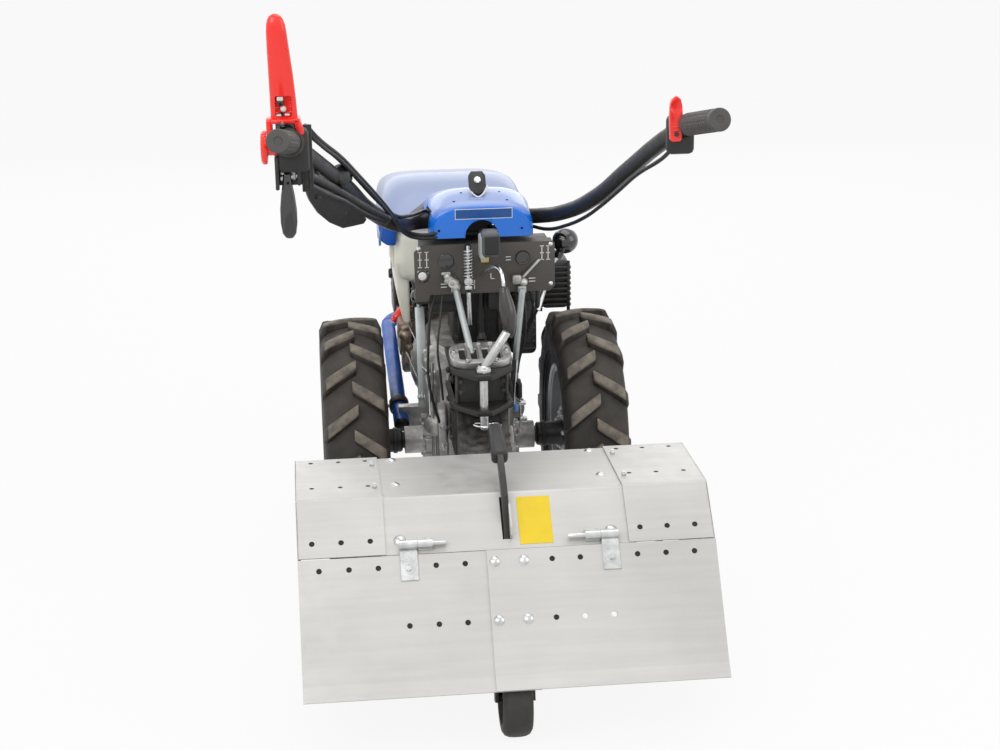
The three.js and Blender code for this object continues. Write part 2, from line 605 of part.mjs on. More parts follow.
function cowl() {
  const { left, right, rear, front, bottom, wall } = COWL;
  const skin = cut(cowlForm(0), cowlForm(wall));
  const below = block(left - 20, right + 20, rear - 20, front + 20, bottom - 90, bottom);
  const arch = join(
    moved(rod('y', ARCH_HALF, rear - 20, rear + 60, 28), COLUMN.x + 3, 0, bottom + 2),
    block(COLUMN.x + 3 - ARCH_HALF, COLUMN.x + 3 + ARCH_HALF, rear - 20, rear + 60, bottom - 60, bottom + 2));
  const armSlot = block(left - 20, right + 20, -126, -64, bottom - 20, HEAD.top + 4);
  place('cowl', cut(skin, below, arch, armSlot), MATERIALS.blue);

  const shield = faceOutline([
    [-18, 820], [-18, 838], [-9, 846], [9, 846], [18, 838], [18, 820], [13, 804], [0, 788], [-13, 804],
  ], -96, -88, 1);
  place('latch_plate', cut(moved(shield, COLUMN.x, 0, -14), cowlForm(-SEAT)), MATERIALS.iron);
}

function handlebarHead() {
  const { left, right, inner, bottom, top, rear, front } = HEAD;
  const gapLeft = COLUMN.x - inner / 2 - 6;
  const gapRight = COLUMN.x + inner / 2 + 6;
  const leftCheek = block(left, gapLeft - 14, rear, front, bottom, top);
  const rightCheek = block(gapRight + 14, right, rear, front, bottom, top);
  const bridge = block(left, right, front - 30, front, bottom, top);
  const pin = moved(rod('x', TILT_PIN_RADIUS, gapLeft - 20, gapRight + 20), 0, COLUMN.y, TILT_Z);
  const bosses = [
    moved(rod('x', 16, gapLeft - 20, gapLeft + 3), 0, COLUMN.y, TILT_Z),
    moved(rod('x', 16, gapRight - 3, gapRight + 20), 0, COLUMN.y, TILT_Z),
  ];
  const posts = [left + 20, right - 20].map((x) => moved(rod('z', 7, top - 4, COWL.top), x, 4, 0));
  const cavity = cowlForm(COWL.wall + SEAT);
  place('handlebar_head', common(join(leftCheek, rightCheek, bridge, pin, ...bosses, ...posts), cavity), MATERIALS.iron);
}

const ARM = { wide: 30, thick: 24 };
const ARM_LINES = {
  left: [
    [HEAD.left - SEAT, -96, 735], [-104, -110, 736], [-140, -196, 752], [-200, -335, 812], [-243, -475, 884],
    [-304, -675, 976], [LEFT_GRIP.x, LEFT_GRIP.y, LEFT_GRIP.z],
  ],
  right: [
    [HEAD.right + SEAT, -96, 737], [134, -110, 740], [172, -190, 764], [208, -330, 820], [240, -500, 905],
    [266, -680, 988], [RIGHT_GRIP.x, RIGHT_GRIP.y, RIGHT_GRIP.z],
  ],
};
const headFaces = block(HEAD.left - SEAT, HEAD.right + SEAT, -200, 40, 600, 900);
const armForm = (side, extra = 0) =>
  along(ARM_LINES[side], ARM.wide + extra, ARM.thick + extra, { sides: 12, steps: 24 });

function gripForm(grip, radius) {
  const from = new THREE.Vector3(grip.x, grip.y, grip.z);
  const to = new THREE.Vector3(...grip.end);
  const direction = to.clone().sub(from).normalize();
  return straight(from.addScaledVector(direction, 3).toArray(), to.toArray(), radius, 18);
}

function arms() {
  const ends = { left: LEFT_GRIP, right: RIGHT_GRIP };
  for (const side of ['left', 'right']) {
    const grip = gripForm(ends[side], GRIP_RADIUS);
    place(`${side}_arm`, cut(armForm(side), headFaces, gripForm(ends[side], GRIP_RADIUS + SEAT)), MATERIALS.black);
    place(`${side}_grip`, grip, MATERIALS.grip);
  }
}

// a flat bar with its width in the plane of its own direction and the given side direction
function plank(from, to, width, thick, sideways) {
  const start = new THREE.Vector3(...from);
  const end = new THREE.Vector3(...to);
  const lengthwise = end.clone().sub(start);
  const reach = lengthwise.length();
  lengthwise.normalize();
  const across = new THREE.Vector3(...sideways);
  across.addScaledVector(lengthwise, -across.dot(lengthwise)).normalize();
  const out = new THREE.Vector3().crossVectors(across, lengthwise);
  const geometry = new RoundedBoxGeometry(width, reach, thick, 2, Math.min(width, thick) * 0.4);
  geometry.applyMatrix4(new THREE.Matrix4().makeBasis(across, lengthwise, out));
  return geometry.translate(...start.add(end).multiplyScalar(0.5).toArray());
}

const LEFT_CLAMP = { left: LEFT_GRIP.x - GRIP_RADIUS - 2, right: -306, rear: -772, front: -732 };
const RIGHT_CLAMP = { rear: -759, front: -735 };
const THROTTLE = { x: 267, thick: 12, bottom: 1002 };
const CABLE_RADIUS = 3.5;
const HEAD_CABLE_Y = -90;

function leftControls() {
  const clamp = softBlock(LEFT_CLAMP.left, LEFT_CLAMP.right, LEFT_CLAMP.rear, LEFT_CLAMP.front, 972, 1040, 8, 1);
  const ear = block(-352, -340, -770, -746, 1034, 1062);
  place('left_clamp', cut(join(clamp, ear), armForm('left', 2 * SEAT)), MATERIALS.black);

  const lever = faceOutline([
    [-21, 6], [19, 0], [15, 74], [9, 150], [3, 165], [-12, 168], [-20, 158], [-21, 74],
  ], -14, 14, 5);
  lever.rotateX(THREE.MathUtils.degToRad(8));
  const clutch = moved(lever, -342, -764, 1052);
  place('clutch_lever', cut(clutch, softBlock(-353, -339, -778, -744, 1030, 1064, 2, 1)), MATERIALS.red);

  place('stop_switch', moved(rod('x', 22, -14.7, 0, 18), LEFT_CLAMP.left - SEAT, -762, 1012), MATERIALS.red);

  const paddle = faceOutline([
    [-5, 0], [5, 0], [8, -40], [12, -74], [9, -95], [0, -102], [-9, -95], [-12, -74], [-8, -40],
  ], -5, 5, 3);
  paddle.rotateX(THREE.MathUtils.degToRad(-8));
  place('hand_brake', moved(paddle, -342, -758, 972 - SEAT - 0.75), MATERIALS.black);

  const shield = plank([-310, -696, 936], [-242, -478, 832], 42, 12, [0.4, -0.35, 1]);
  const studs = [
    straight([-295, -648, 913], [-296, -650, 962], 5),
    straight([-251, -506, 846], [-250, -500, 896], 5),
  ];
  place('arm_shield', cut(join(shield, ...studs), armForm('left', 2 * SEAT)), MATERIALS.black);
}

// the control cables are held all the way along the arms, from a lever's clamp to the head's cheek
function cables() {
  const leftStart = LEFT_CLAMP.front + SEAT;
  place('left_cable', along([
    [-328, leftStart, 1030], [-328, leftStart + 14, 1030], [-318, -670, 1016], [-290, -600, 985], [-258, -520, 950],
    [-226, -440, 910], [-194, -350, 862], [-160, -260, 814], [-132, -190, 780], [-108, -130, 761], [-92, -98, 754],
    [HEAD.left - 8, HEAD_CABLE_Y, 753], [HEAD.left - SEAT, HEAD_CABLE_Y, 753],
  ], 2 * CABLE_RADIUS, 2 * CABLE_RADIUS, { sides: 8, steps: 50 }), MATERIALS.black);
  const rightStart = RIGHT_CLAMP.front + SEAT;
  place('right_cable', along([
    [276, rightStart, 984], [276, rightStart + 14, 983], [264, -670, 955], [244, -560, 908], [228, -460, 858],
    [211, -370, 812], [194, -290, 774], [172, -210, 742], [146, -150, 722], [122, -104, 718],
    [HEAD.right + 8, HEAD_CABLE_Y, 718.5], [HEAD.right + SEAT, HEAD_CABLE_Y, 718.5],
  ], 2 * CABLE_RADIUS, 2 * CABLE_RADIUS, { sides: 8, steps: 50 }), MATERIALS.black);
}

function rightControls() {
  const clamp = softBlock(256, 300, RIGHT_CLAMP.rear, RIGHT_CLAMP.front, 978, 1040, 8, 1);
  place('right_clamp', cut(clamp, armForm('right', 2 * SEAT)), MATERIALS.black);
  const rear = RIGHT_CLAMP.rear - SEAT;
  const lever = faceOutline([
    [-9, 0], [9, 0], [10, 44], [8, 66], [0, 72], [-8, 66], [-10, 44],
  ], rear - THROTTLE.thick, rear, 2);
  place('throttle_lever', cut(moved(lever, THROTTLE.x, 0, THROTTLE.bottom), armForm('right', 2 * SEAT)), MATERIALS.red);
}

// ---------------------------------------------------------------- rotary tiller

// a bent sheet: the open line of [y, z] points is its outer face, its thickness goes inwards
function bent(line, thickness, lift = 0) {
  const normals = line.slice(1).map(([y, z], i) => {
    const [dy, dz] = [y - line[i][0], z - line[i][1]];
    const reach = Math.hypot(dy, dz);
    return [dz / reach, -dy / reach];
  });
  const offset = (distance) => line.map(([y, z], i) => {
    const before = normals[Math.max(0, i - 1)];
    const after = normals[Math.min(normals.length - 1, i)];
    const middle = [before[0] + after[0], before[1] + after[1]];
    const scale = (2 * distance) / (middle[0] ** 2 + middle[1] ** 2);
    return [y + middle[0] * scale, z + middle[1] * scale];
  });
  return [...offset(lift), ...offset(lift - thickness).reverse()];
}

const unit = (from, to) => {
  const [dy, dz] = [to.y - from.y, to.z - from.z];
  const reach = Math.hypot(dy, dz);
  return { y: dy / reach, z: dz / reach };
};
const BACK_DOWN = unit(HOOD_BEND, HINGE_LINE); // down the hood's back plate
const BACK_OUT = { y: BACK_DOWN.z, z: -BACK_DOWN.y }; // away from its face
const HINGE_AXIS = {
  y: HINGE_LINE.y - BACK_DOWN.y * HINGE_ABOVE + BACK_OUT.y * HINGE_PROUD,
  z: HINGE_LINE.z - BACK_DOWN.z * HINGE_ABOVE + BACK_OUT.z * HINGE_PROUD,
};
const FLAP_START = { y: HINGE_LINE.y + BACK_DOWN.y * 2, z: HINGE_LINE.z + BACK_DOWN.z * 2 };
const FLAP_DOWN = unit(FLAP_START, FLAP_FOLD);
const FLAP_OUT = { y: FLAP_DOWN.z, z: -FLAP_DOWN.y };
const pair = ({ y, z }) => [y, z];
const HOOD_LINE = [pair(HOOD_FRONT), pair(HOOD_BEND), pair(HINGE_LINE)];
const FLAP_LINE = [pair(FLAP_START), pair(FLAP_FOLD), pair(FLAP_END)];

const hingeTube = (radius, [low, high]) => moved(rod('x', radius, low, high, 16), 0, HINGE_AXIS.y, HINGE_AXIS.z);
const onBack = (down, out) => [
  HINGE_LINE.y + BACK_DOWN.y * down + BACK_OUT.y * out, HINGE_LINE.z + BACK_DOWN.z * down + BACK_OUT.z * out];
const onFlap = (down, out) => [
  FLAP_START.y + FLAP_DOWN.y * down + FLAP_OUT.y * out, FLAP_START.z + FLAP_DOWN.z * down + FLAP_OUT.z * out];

function tillerCase() {
  const front = HITCH_REAR + 14 - SEAT;
  const lowPlate = HITCH_LOW_PLATE - HITCH_PLATE - SEAT;
  const neck = sideOutline([
    [front, 262], [front, lowPlate], [front - 14, lowPlate], [front - 22, PIN_END - 18], [-392, 352], [-392, 270],
    [-340, 250],
  ], -48, 48);
  const arm = sideOutline([
    [-340, 250], [-360, 352], [-460, 352], [-466, 372], [-520, 372], [-530, 330], [ROTOR.y - 40, ROTOR.z + 30],
    [ROTOR.y, ROTOR.z - 50], [-500, 170],
  ], -TILLER_CASE_HALF, TILLER_CASE_HALF);
  const end = moved(rod('x', 52, -TILLER_CASE_HALF, TILLER_CASE_HALF, 24), 0, ROTOR.y, ROTOR.z);
  const bore = moved(rod('x', ROTOR.shaft + 0.6, -100, 100, 20), 0, ROTOR.y, ROTOR.z);
  place('tiller_case', cut(join(neck, arm, end), bore), MATERIALS.iron);
}

function tillerHood() {
  const centre = sideOutline(bent(HOOD_LINE, SHEET), -HOOD_CENTRE_WIDTH / 2, HOOD_CENTRE_WIDTH / 2);
  const slot = sideOutline([
    onBack(-SLOT.low, -20), onBack(-SLOT.low, 20), onBack(-SLOT.high, 20), onBack(-SLOT.high, -20),
  ], -SLOT.half, SLOT.half);
  const lug = sideOutline([
    onBack(-SLOT.low, -1), onBack(-SLOT.low, 16), onBack(-SLOT.low - 10, 24), onBack(24 - SLOT.high, 24),
    onBack(14 - SLOT.high, 14), onBack(14 - SLOT.high, -1),
  ], DEPTH_BAR + SEAT, DEPTH_BAR + SLOT.half);
  place('hood_centre', join(cut(centre, slot), lug), MATERIALS.sheet);

  const lift = SHEET + SEAT;
  const edge = HOOD_WIDTH / 2;
  const lap = HOOD_CENTRE_WIDTH / 2 - HOOD_LAP;
  const outer = bent(HOOD_LINE, SHEET, lift).slice(0, HOOD_LINE.length);
  const rearTop = [FLAP_START.y - FLAP_OUT.y * SEAT, FLAP_START.z - FLAP_OUT.z * SEAT];
  const rearLow = [rearTop[0] + FLAP_DOWN.y * 112, rearTop[1] + FLAP_DOWN.z * 112];
  const plate = [...outer, rearTop, rearLow, [-764, 150], [-700, 118], [-490, 118], [-432, 190]];
  for (const [name, side] of [['left', -1], ['right', 1]]) {
    const span = (inner, outerX) => (side > 0 ? [inner, outerX] : [-outerX, -inner]);
    const skin = sideOutline(bent(HOOD_LINE, SHEET, lift), ...span(lap, edge));
    const cheek = sideOutline(plate, ...span(edge - SHEET, edge));
    place(`hood_${name}`, join(skin, cheek), MATERIALS.sheet);
  }
}

function hinges() {
  for (const { name, knuckle, pin } of HINGES) {
    const base = sideOutline([
      onBack(-6, SEAT), onBack(-6, 3.5), onBack(-HINGE_ABOVE - 14, 3.5), onBack(-HINGE_ABOVE - 14, SEAT),
    ], ...knuckle);
    const web = sideOutline([
      onBack(-HINGE_ABOVE + 4, 2), onBack(-HINGE_ABOVE + 4, HINGE_PROUD), onBack(-HINGE_ABOVE - 6, HINGE_PROUD),
      onBack(-HINGE_ABOVE - 8, 2),
    ], ...knuckle);
    place(`hinge_${name}`, join(base, web, hingeTube(8, knuckle), hingeTube(HINGE_PIN_RADIUS, pin)), MATERIALS.zinc);
  }
}

function flap() {
  const edge = HOOD_WIDTH / 2;
  const spans = { left: [-edge, FLAP_SEAM + FLAP_LAP], right: [FLAP_SEAM, edge] };
  const lifts = { left: SHEET, right: 2 * SHEET + SEAT };
  for (const { name, leaf } of HINGES) {
    const lift = lifts[name];
    const sheet = sideOutline(bent(FLAP_LINE, SHEET, lift), ...spans[name]);
    const strap = sideOutline([
      onFlap(44, lift - 0.6), onFlap(44, lift + 3), onFlap(-10, lift + 3), onFlap(-10, lift - 0.6),
    ], ...leaf);
    const bore = hingeTube(HINGE_PIN_RADIUS + SEAT, [leaf[0] - 5, leaf[1] + 5]);
    place(`flap_${name}`, cut(join(sheet, strap, hingeTube(8, leaf)), bore), MATERIALS.sheet);
  }
}

function tine(x, turn, bend) {
  const half = 3.5;
  const reach = ROTOR.radius;
  const leg = sideOutline([
    [-17, 26], [17, 26], [19, reach - 40], [12, reach - 9], [-24, reach - 9], [-15, reach - 50],
  ], -half, half);
  const blade = block(Math.min(-half * Math.sign(bend), bend), Math.max(-half * Math.sign(bend), bend),
    -24, 12, reach - 15, reach - 8);
  return moved(join(leg, blade).rotateX(turn), x, 0, 0);
}

function rotor() {
  const parts = [rod('x', ROTOR.shaft, -ROTOR.reach, ROTOR.reach, 20)];
  for (const side of [-1, 1]) {
    TINE_FLANGES.forEach((at, row) => {
      parts.push(moved(rod('x', 42, -5, 5, 20), side * at, 0, 0));
      for (let i = 0; i < 4; i += 1) {
        const turn = (i * Math.PI) / 2 + row * 0.52 + (side > 0 ? 0.26 : 0);
        const outwards = (i % 2 === 0 ? 1 : -1) * side;
        parts.push(tine(side * at, turn, outwards * (outwards === side ? 40 : 32)));
      }
    });
  }
  place('rotor', join(...parts), MATERIALS.tines, 0, ROTOR.y, ROTOR.z);
}

function depthWheel() {
  const { y, radius, width, pin } = DEPTH_WHEEL;
  const half = width / 2;
  place('depth_wheel', turned([
    [pin + SEAT, half - 8], [radius - 26, half - 8], [radius - 22, half], [radius - 8, half], [radius, half - 9],
    [radius, 9 - half], [radius - 8, -half], [radius - 22, -half], [radius - 26, 8 - half], [pin + SEAT, 8 - half],
    [pin + SEAT, half - 8],
  ], 'x', 36), MATERIALS.rubber, 0, y, radius);

  const line = [
    [y + 24, 152], [y + 36, 196], [HINGE_LINE.y + 20, HINGE_LINE.z - 8], onBack(-56, 0), onBack(-88, 16), [-644, 402], [-612, 423], [-566, 440],
  ];
  const stem = sideOutline(bent(line, 22, 11), -DEPTH_BAR, DEPTH_BAR);
  const grip = plank([0, -606, 427], [0, -520, 452], 26, 24, [1, 0, 0]);
  const leg = [[y - 12, radius - 4], [y + 10, radius - 12], [y + 38, 158], [y + 10, 158]];
  const gap = half + 3;
  place('depth_lever', join(stem, grip, sideOutline(leg, gap, gap + 6), sideOutline(leg, -gap - 6, -gap),
    block(-gap - 6, gap + 6, y + 10, y + 38, 146, 158),
    moved(rod('x', pin, -gap - 6, gap + 6, 16), 0, y, radius)), MATERIALS.iron);
}

const group = machine;
driveWheels();
gearbox();
engine();
fuelTank();
muffler();
airCleaner();
bonnet();
bumper();
hitch();
gateRing();
columnBase();
consolePanel();
levers();
column();
cowl();
handlebarHead();
arms();
leftControls();
rightControls();
cables();
tillerCase();
tillerHood();
hinges();
flap();
rotor();
depthWheel();

export default group;
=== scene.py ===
import json
import math

import bmesh
import bpy
from mathutils import Matrix, Vector


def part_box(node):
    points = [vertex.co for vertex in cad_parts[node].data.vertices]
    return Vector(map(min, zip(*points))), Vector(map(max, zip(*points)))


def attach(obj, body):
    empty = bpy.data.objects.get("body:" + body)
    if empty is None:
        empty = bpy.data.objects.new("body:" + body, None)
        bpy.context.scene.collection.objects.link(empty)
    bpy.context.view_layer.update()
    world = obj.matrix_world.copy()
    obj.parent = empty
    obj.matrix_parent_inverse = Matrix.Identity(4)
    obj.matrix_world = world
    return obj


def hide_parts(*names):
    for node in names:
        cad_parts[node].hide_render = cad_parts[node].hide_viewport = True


# A walking tractor with a rear rotary tiller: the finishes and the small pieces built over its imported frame.
# Shapes are made in millimetres in the machine's own frame: its origin is on the floor under the axle.

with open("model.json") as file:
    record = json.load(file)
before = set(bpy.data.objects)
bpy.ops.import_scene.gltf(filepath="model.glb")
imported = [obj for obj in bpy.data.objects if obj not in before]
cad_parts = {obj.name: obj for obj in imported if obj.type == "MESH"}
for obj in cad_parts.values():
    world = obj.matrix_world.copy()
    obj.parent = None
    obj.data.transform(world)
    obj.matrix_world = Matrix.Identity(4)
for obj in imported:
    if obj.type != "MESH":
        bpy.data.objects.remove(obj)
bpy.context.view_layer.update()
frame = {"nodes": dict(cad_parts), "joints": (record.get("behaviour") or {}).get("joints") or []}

hubs = [Vector(j["pos_m"]) for j in frame["joints"] if j["name"] in ("left_wheel_spin", "right_wheel_spin")]
AXLE = (hubs[0] + hubs[1]) / 2
PLACE = Matrix.Translation((AXLE.x, AXLE.y, 0)) @ Matrix.Scale(0.001, 4)
UNPLACE = PLACE.inverted()


# ------------------------------------------------------------------ shapes

def room(node):
    """The lowest and highest corner of a CAD node, in machine millimetres."""
    low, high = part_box(node)
    return UNPLACE @ low, UNPLACE @ high


def point(*numbers):
    return Vector(numbers)


def softened(shape, width, segments=2, angle=30):
    """Rounds every edge whose two faces meet at more than the angle."""
    shape.normal_update()
    edges = [e for e in shape.edges if len(e.link_faces) == 2 and e.calc_face_angle(0) > math.radians(angle)]
    bmesh.ops.bevel(shape, geom=edges, offset=width, offset_type="OFFSET", segments=segments, profile=0.5,
                    affect="EDGES", clamp_overlap=True, material=-1)
    return shape


def box(low, high, soft=0, segments=2):
    shape = bmesh.new()
    bmesh.ops.create_cube(shape, size=1)
    low, high = Vector(low), Vector(high)
    bmesh.ops.scale(shape, vec=high - low, verts=shape.verts)
    bmesh.ops.translate(shape, vec=(low + high) / 2, verts=shape.verts)
    return softened(shape, soft, segments) if soft else shape


def facing(start, end):
    """The matrix that takes the z axis, at the origin, onto the line from start towards end."""
    start, end = Vector(start), Vector(end)
    turn = (end - start).to_track_quat("Z", "Y").to_matrix().to_4x4()
    return Matrix.Translation(start) @ turn


def rod(start, end, radius, far_radius=None, sides=20, soft=0):
    shape = bmesh.new()
    length = (Vector(end) - Vector(start)).length
    bmesh.ops.create_cone(shape, cap_ends=True, segments=sides, radius1=radius,
                          radius2=radius if far_radius is None else far_radius, depth=length)
    bmesh.ops.translate(shape, vec=(0, 0, length / 2), verts=shape.verts)
    bmesh.ops.transform(shape, matrix=facing(start, end), verts=shape.verts)
    return softened(shape, soft, 2, 50) if soft else shape


def ball(centre, radius, sides=32):
    shape = bmesh.new()
    bmesh.ops.create_uvsphere(shape, u_segments=sides, v_segments=sides // 2, radius=radius)
    bmesh.ops.translate(shape, vec=centre, verts=shape.verts)
    return shape


def turned(profile, start, end, steps=48):
    """Spins a profile of (radius, along) points about the line from start towards end."""
    shape = bmesh.new()
    spots = [shape.verts.new((radius, 0, along)) for radius, along in profile]
    edges = [shape.edges.new(two) for two in zip(spots, spots[1:])]
    bmesh.ops.spin(shape, geom=spots + edges, cent=(0, 0, 0), axis=(0, 0, 1), angle=2 * math.pi, steps=steps,
                   use_merge=True)
    bmesh.ops.remove_doubles(shape, verts=shape.verts, dist=0.01)
    bmesh.ops.recalc_face_normals(shape, faces=shape.faces)
    bmesh.ops.transform(shape, matrix=facing(start, end), verts=shape.verts)
    return shape


def corners_of(drawn):
    """The new corners that an extrusion made."""
    return [spot for spot in drawn["geom"] if isinstance(spot, bmesh.types.BMVert)]


def plate(points, along, low, high, soft=0, segments=2):
    """An outline drawn out from low to high along x, y or z; its points are the other two coordinates."""
    shape = bmesh.new()
    axis = "xyz".index(along)
    corners = [(*spot[:axis], low, *spot[axis:]) for spot in points]
    face = shape.faces.new([shape.verts.new(corner) for corner in corners])
    drawn = bmesh.ops.extrude_face_region(shape, geom=[face])
    step = [0, 0, 0]
    step[axis] = high - low
    bmesh.ops.translate(shape, vec=step, verts=corners_of(drawn))
    bmesh.ops.recalc_face_normals(shape, faces=shape.faces)
    return softened(shape, soft, segments) if soft else shape


def rounded_line(line, radius, steps=6):
    """The open line with each inner corner turned into an arc."""
    points = [Vector(line[0])]
    for before, corner, after in zip(line, line[1:], line[2:]):
        corner = Vector(corner)
        back = (Vector(before) - corner).normalized()
        ahead = (Vector(after) - corner).normalized()
        reach = radius / math.tan(back.angle(ahead) / 2)
        first, last = corner + back * reach, corner + ahead * reach
        for i in range(steps + 1):
            t = i / steps
            points.append(first * (1 - t) ** 2 + corner * 2 * t * (1 - t) + last * t ** 2)
    return points + [Vector(line[-1])]


def bent_sheet(line, x_low, x_high, thick, radius=9):
    """A sheet of even thickness bent along a (y, z) line, which is its outer face."""
    shape = bmesh.new()
    spots = [shape.verts.new((x_low, p.x, p.y)) for p in rounded_line(line, radius)]
    edges = [shape.edges.new(two) for two in zip(spots, spots[1:])]
    drawn = bmesh.ops.extrude_edge_only(shape, edges=edges)
    bmesh.ops.translate(shape, vec=(x_high - x_low, 0, 0), verts=corners_of(drawn))
    shape.normal_update()
    if sum((f.normal.z for f in shape.faces)) < 0:
        bmesh.ops.reverse_faces(shape, faces=shape.faces)
    bmesh.ops.solidify(shape, geom=shape.faces[:], thickness=thick)
    shape.normal_update()
    bmesh.ops.recalc_face_normals(shape, faces=shape.faces)
    return shape


def merged(*shapes):
    whole = bmesh.new()
    for shape in shapes:
        mesh = bpy.data.meshes.new("part")
        shape.to_mesh(mesh)
        shape.free()
        whole.from_mesh(mesh)
        bpy.data.meshes.remove(mesh)
    return whole


def moved(shape, matrix):
    bmesh.ops.transform(shape, matrix=matrix, verts=shape.verts)
    if matrix.determinant() < 0:
        bmesh.ops.reverse_faces(shape, faces=shape.faces)
    return shape


def copies(shape, matrices):
    """One shape with the given shape repeated at each matrix."""
    return merged(*[moved(shape.copy(), matrix) for matrix in matrices])


def across(shape, middle=0):
    """The shape and its mirror image about the plane x = middle."""
    flip = Matrix.Translation((2 * middle, 0, 0)) @ Matrix.Diagonal((-1, 1, 1, 1))
    return copies(shape, [Matrix.Identity(4), flip])


def ring_of(shape, count, start, end, phase=0):
    """The shape repeated evenly round the line from start towards end."""
    line = (Vector(end) - Vector(start)).normalized()
    go, back = Matrix.Translation(start), Matrix.Translation(-Vector(start))
    turns = [phase + i * 2 * math.pi / count for i in range(count)]
    return copies(shape, [go @ Matrix.Rotation(turn, 4, line) @ back for turn in turns])


def workshop(shape):
    """A temporary object holding the shape, for a modifier or a boolean."""
    mesh = bpy.data.meshes.new("work")
    shape.to_mesh(mesh)
    shape.free()
    item = bpy.data.objects.new("work", mesh)
    bpy.context.scene.collection.objects.link(item)
    return item


def evaluated(item):
    """The item's finished mesh as a new shape; the item is removed."""
    bpy.context.view_layer.update()
    seen = item.evaluated_get(bpy.context.evaluated_depsgraph_get())
    mesh = bpy.data.meshes.new_from_object(seen)
    shape = bmesh.new()
    shape.from_mesh(mesh)
    bpy.data.meshes.remove(mesh)
    data = item.data
    bpy.data.objects.remove(item)
    (bpy.data.curves if isinstance(data, bpy.types.Curve) else bpy.data.meshes).remove(data)
    return shape


def carved(shape, *tools, how="DIFFERENCE"):
    item = workshop(shape)
    cutters = [workshop(tool) for tool in tools]
    for cutter in cutters:
        cut = item.modifiers.new("cut", "BOOLEAN")
        cut.operation = how
        cut.solver = "EXACT"
        cut.object = cutter
    result = evaluated(item)
    for cutter in cutters:
        mesh = cutter.data
        bpy.data.objects.remove(cutter)
        bpy.data.meshes.remove(mesh)
    return result


def signed_power(value, power):
    """The power of a number's size, with its sign kept: it squares off or pinches a round outline."""
    return math.copysign(abs(value) ** power, value)


def pipe(points, radius, section=None, detail=8, sides=6):
    """A round bar along a smooth line through the points, or a bar of the (wide, high) oval section."""
    curve = bpy.data.curves.new("line", "CURVE")
    curve.dimensions = "3D"
    curve.resolution_u = detail
    curve.use_fill_caps = True
    spots = curve.splines.new("BEZIER").bezier_points
    spots.add(len(points) - 1)
    for spot, place in zip(spots, points):
        spot.co = place
        spot.handle_left_type = spot.handle_right_type = "AUTO"
    item = bpy.data.objects.new("line", curve)
    bpy.context.scene.collection.objects.link(item)
    if section is None:
        curve.bevel_depth = radius
        curve.bevel_resolution = sides
        return evaluated(item)
    oval = bpy.data.curves.new("oval", "CURVE")
    oval.dimensions = "2D"
    ring = oval.splines.new("POLY")
    ring.points.add(23)
    for i, spot in enumerate(ring.points):
        turn = i * 2 * math.pi / 24
        spot.co = (signed_power(math.cos(turn), 0.8) * section[0] / 2,
                   signed_power(math.sin(turn), 0.8) * section[1] / 2, 0, 1)
    ring.use_cyclic_u = True
    outline = bpy.data.objects.new("oval", oval)
    bpy.context.scene.collection.objects.link(outline)
    curve.bevel_mode = "OBJECT"
    curve.bevel_object = outline
    shape = evaluated(item)
    bpy.data.objects.remove(outline)
    bpy.data.curves.remove(oval)
    bmesh.ops.recalc_face_normals(shape, faces=shape.faces)
    return shape


def cad_copy(node, soft=0, segments=2, flat=1.5, angle=30):
    """The CAD node's own shape, with clean faces and rounded edges."""
    shape = bmesh.new()
    shape.from_mesh(frame["nodes"][node].data)
    bmesh.ops.transform(shape, matrix=UNPLACE, verts=shape.verts)
    bmesh.ops.remove_doubles(shape, verts=shape.verts, dist=0.02)
    bmesh.ops.dissolve_limit(shape, angle_limit=math.radians(flat), verts=shape.verts, edges=shape.edges)
    return softened(shape, soft, segments, angle) if soft else shape


def bolt(place, towards, size=8, washer=True, domed=False):
    """A screw head standing on a face: hexagonal, or the low round head of a carriage bolt."""
    start = Vector(place)
    out = (Vector(towards)).normalized()
    if domed:
        profile = [(0, size * 0.45), (size * 0.5, size * 0.38), (size * 0.85, size * 0.16), (size, 0)]
        return turned(profile + [(size, -1), (0, -1)], start, start + out, 20)
    head = rod(start + out * (1.2 if washer else 0), start + out * (size * 0.7 + 1.2), size * 0.82, sides=6)
    head = softened(head, size * 0.08, 1, 50)
    stud = rod(start, start + out * (size * 0.7 + 3.2), size * 0.45, sides=12)
    if washer:
        return merged(head, stud, rod(start - out, start + out * 1.4, size * 1.25, sides=20))
    return merged(head, stud)


def piece(name, shape, finish, body, stands_for=(), smooth=35):
    """A finished piece in place: it rides on its body and carries its finish."""
    bmesh.ops.transform(shape, matrix=PLACE, verts=shape.verts)
    mesh = bpy.data.meshes.new(name)
    shape.to_mesh(mesh)
    shape.free()
    mesh.materials.clear()
    mesh.materials.append(finish)
    mesh.shade_smooth()
    mesh.set_sharp_from_angle(angle=math.radians(smooth))
    item = bpy.data.objects.new(name, mesh)
    bpy.context.scene.collection.objects.link(item)
    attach(item, body)
    if stands_for:
        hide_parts(*stands_for)
    return item


# ------------------------------------------------------------------ finishes

def add(tree, kind, sockets=None, **settings):
    """A shader node with its settings, and its sockets set or linked."""
    node = tree.nodes.new(kind)
    for name, value in settings.items():
        setattr(node, name, value)
    for name, value in (sockets or {}).items():
        if isinstance(value, bpy.types.NodeSocket):
            tree.links.new(value, node.inputs[name])
        else:
            node.inputs[name].default_value = value
    return node


def effect(name, inputs, outputs):
    """A shader node group with its named inputs and outputs: the tree, what comes in and what goes out."""
    tree = bpy.data.node_groups.new(name, "ShaderNodeTree")
    for label, kind, value in inputs:
        tree.interface.new_socket(label, in_out="INPUT", socket_type=kind).default_value = value
    for label, kind in outputs:
        tree.interface.new_socket(label, in_out="OUTPUT", socket_type=kind)
    return tree, tree.nodes.new("NodeGroupInput").outputs, tree.nodes.new("NodeGroupOutput").inputs


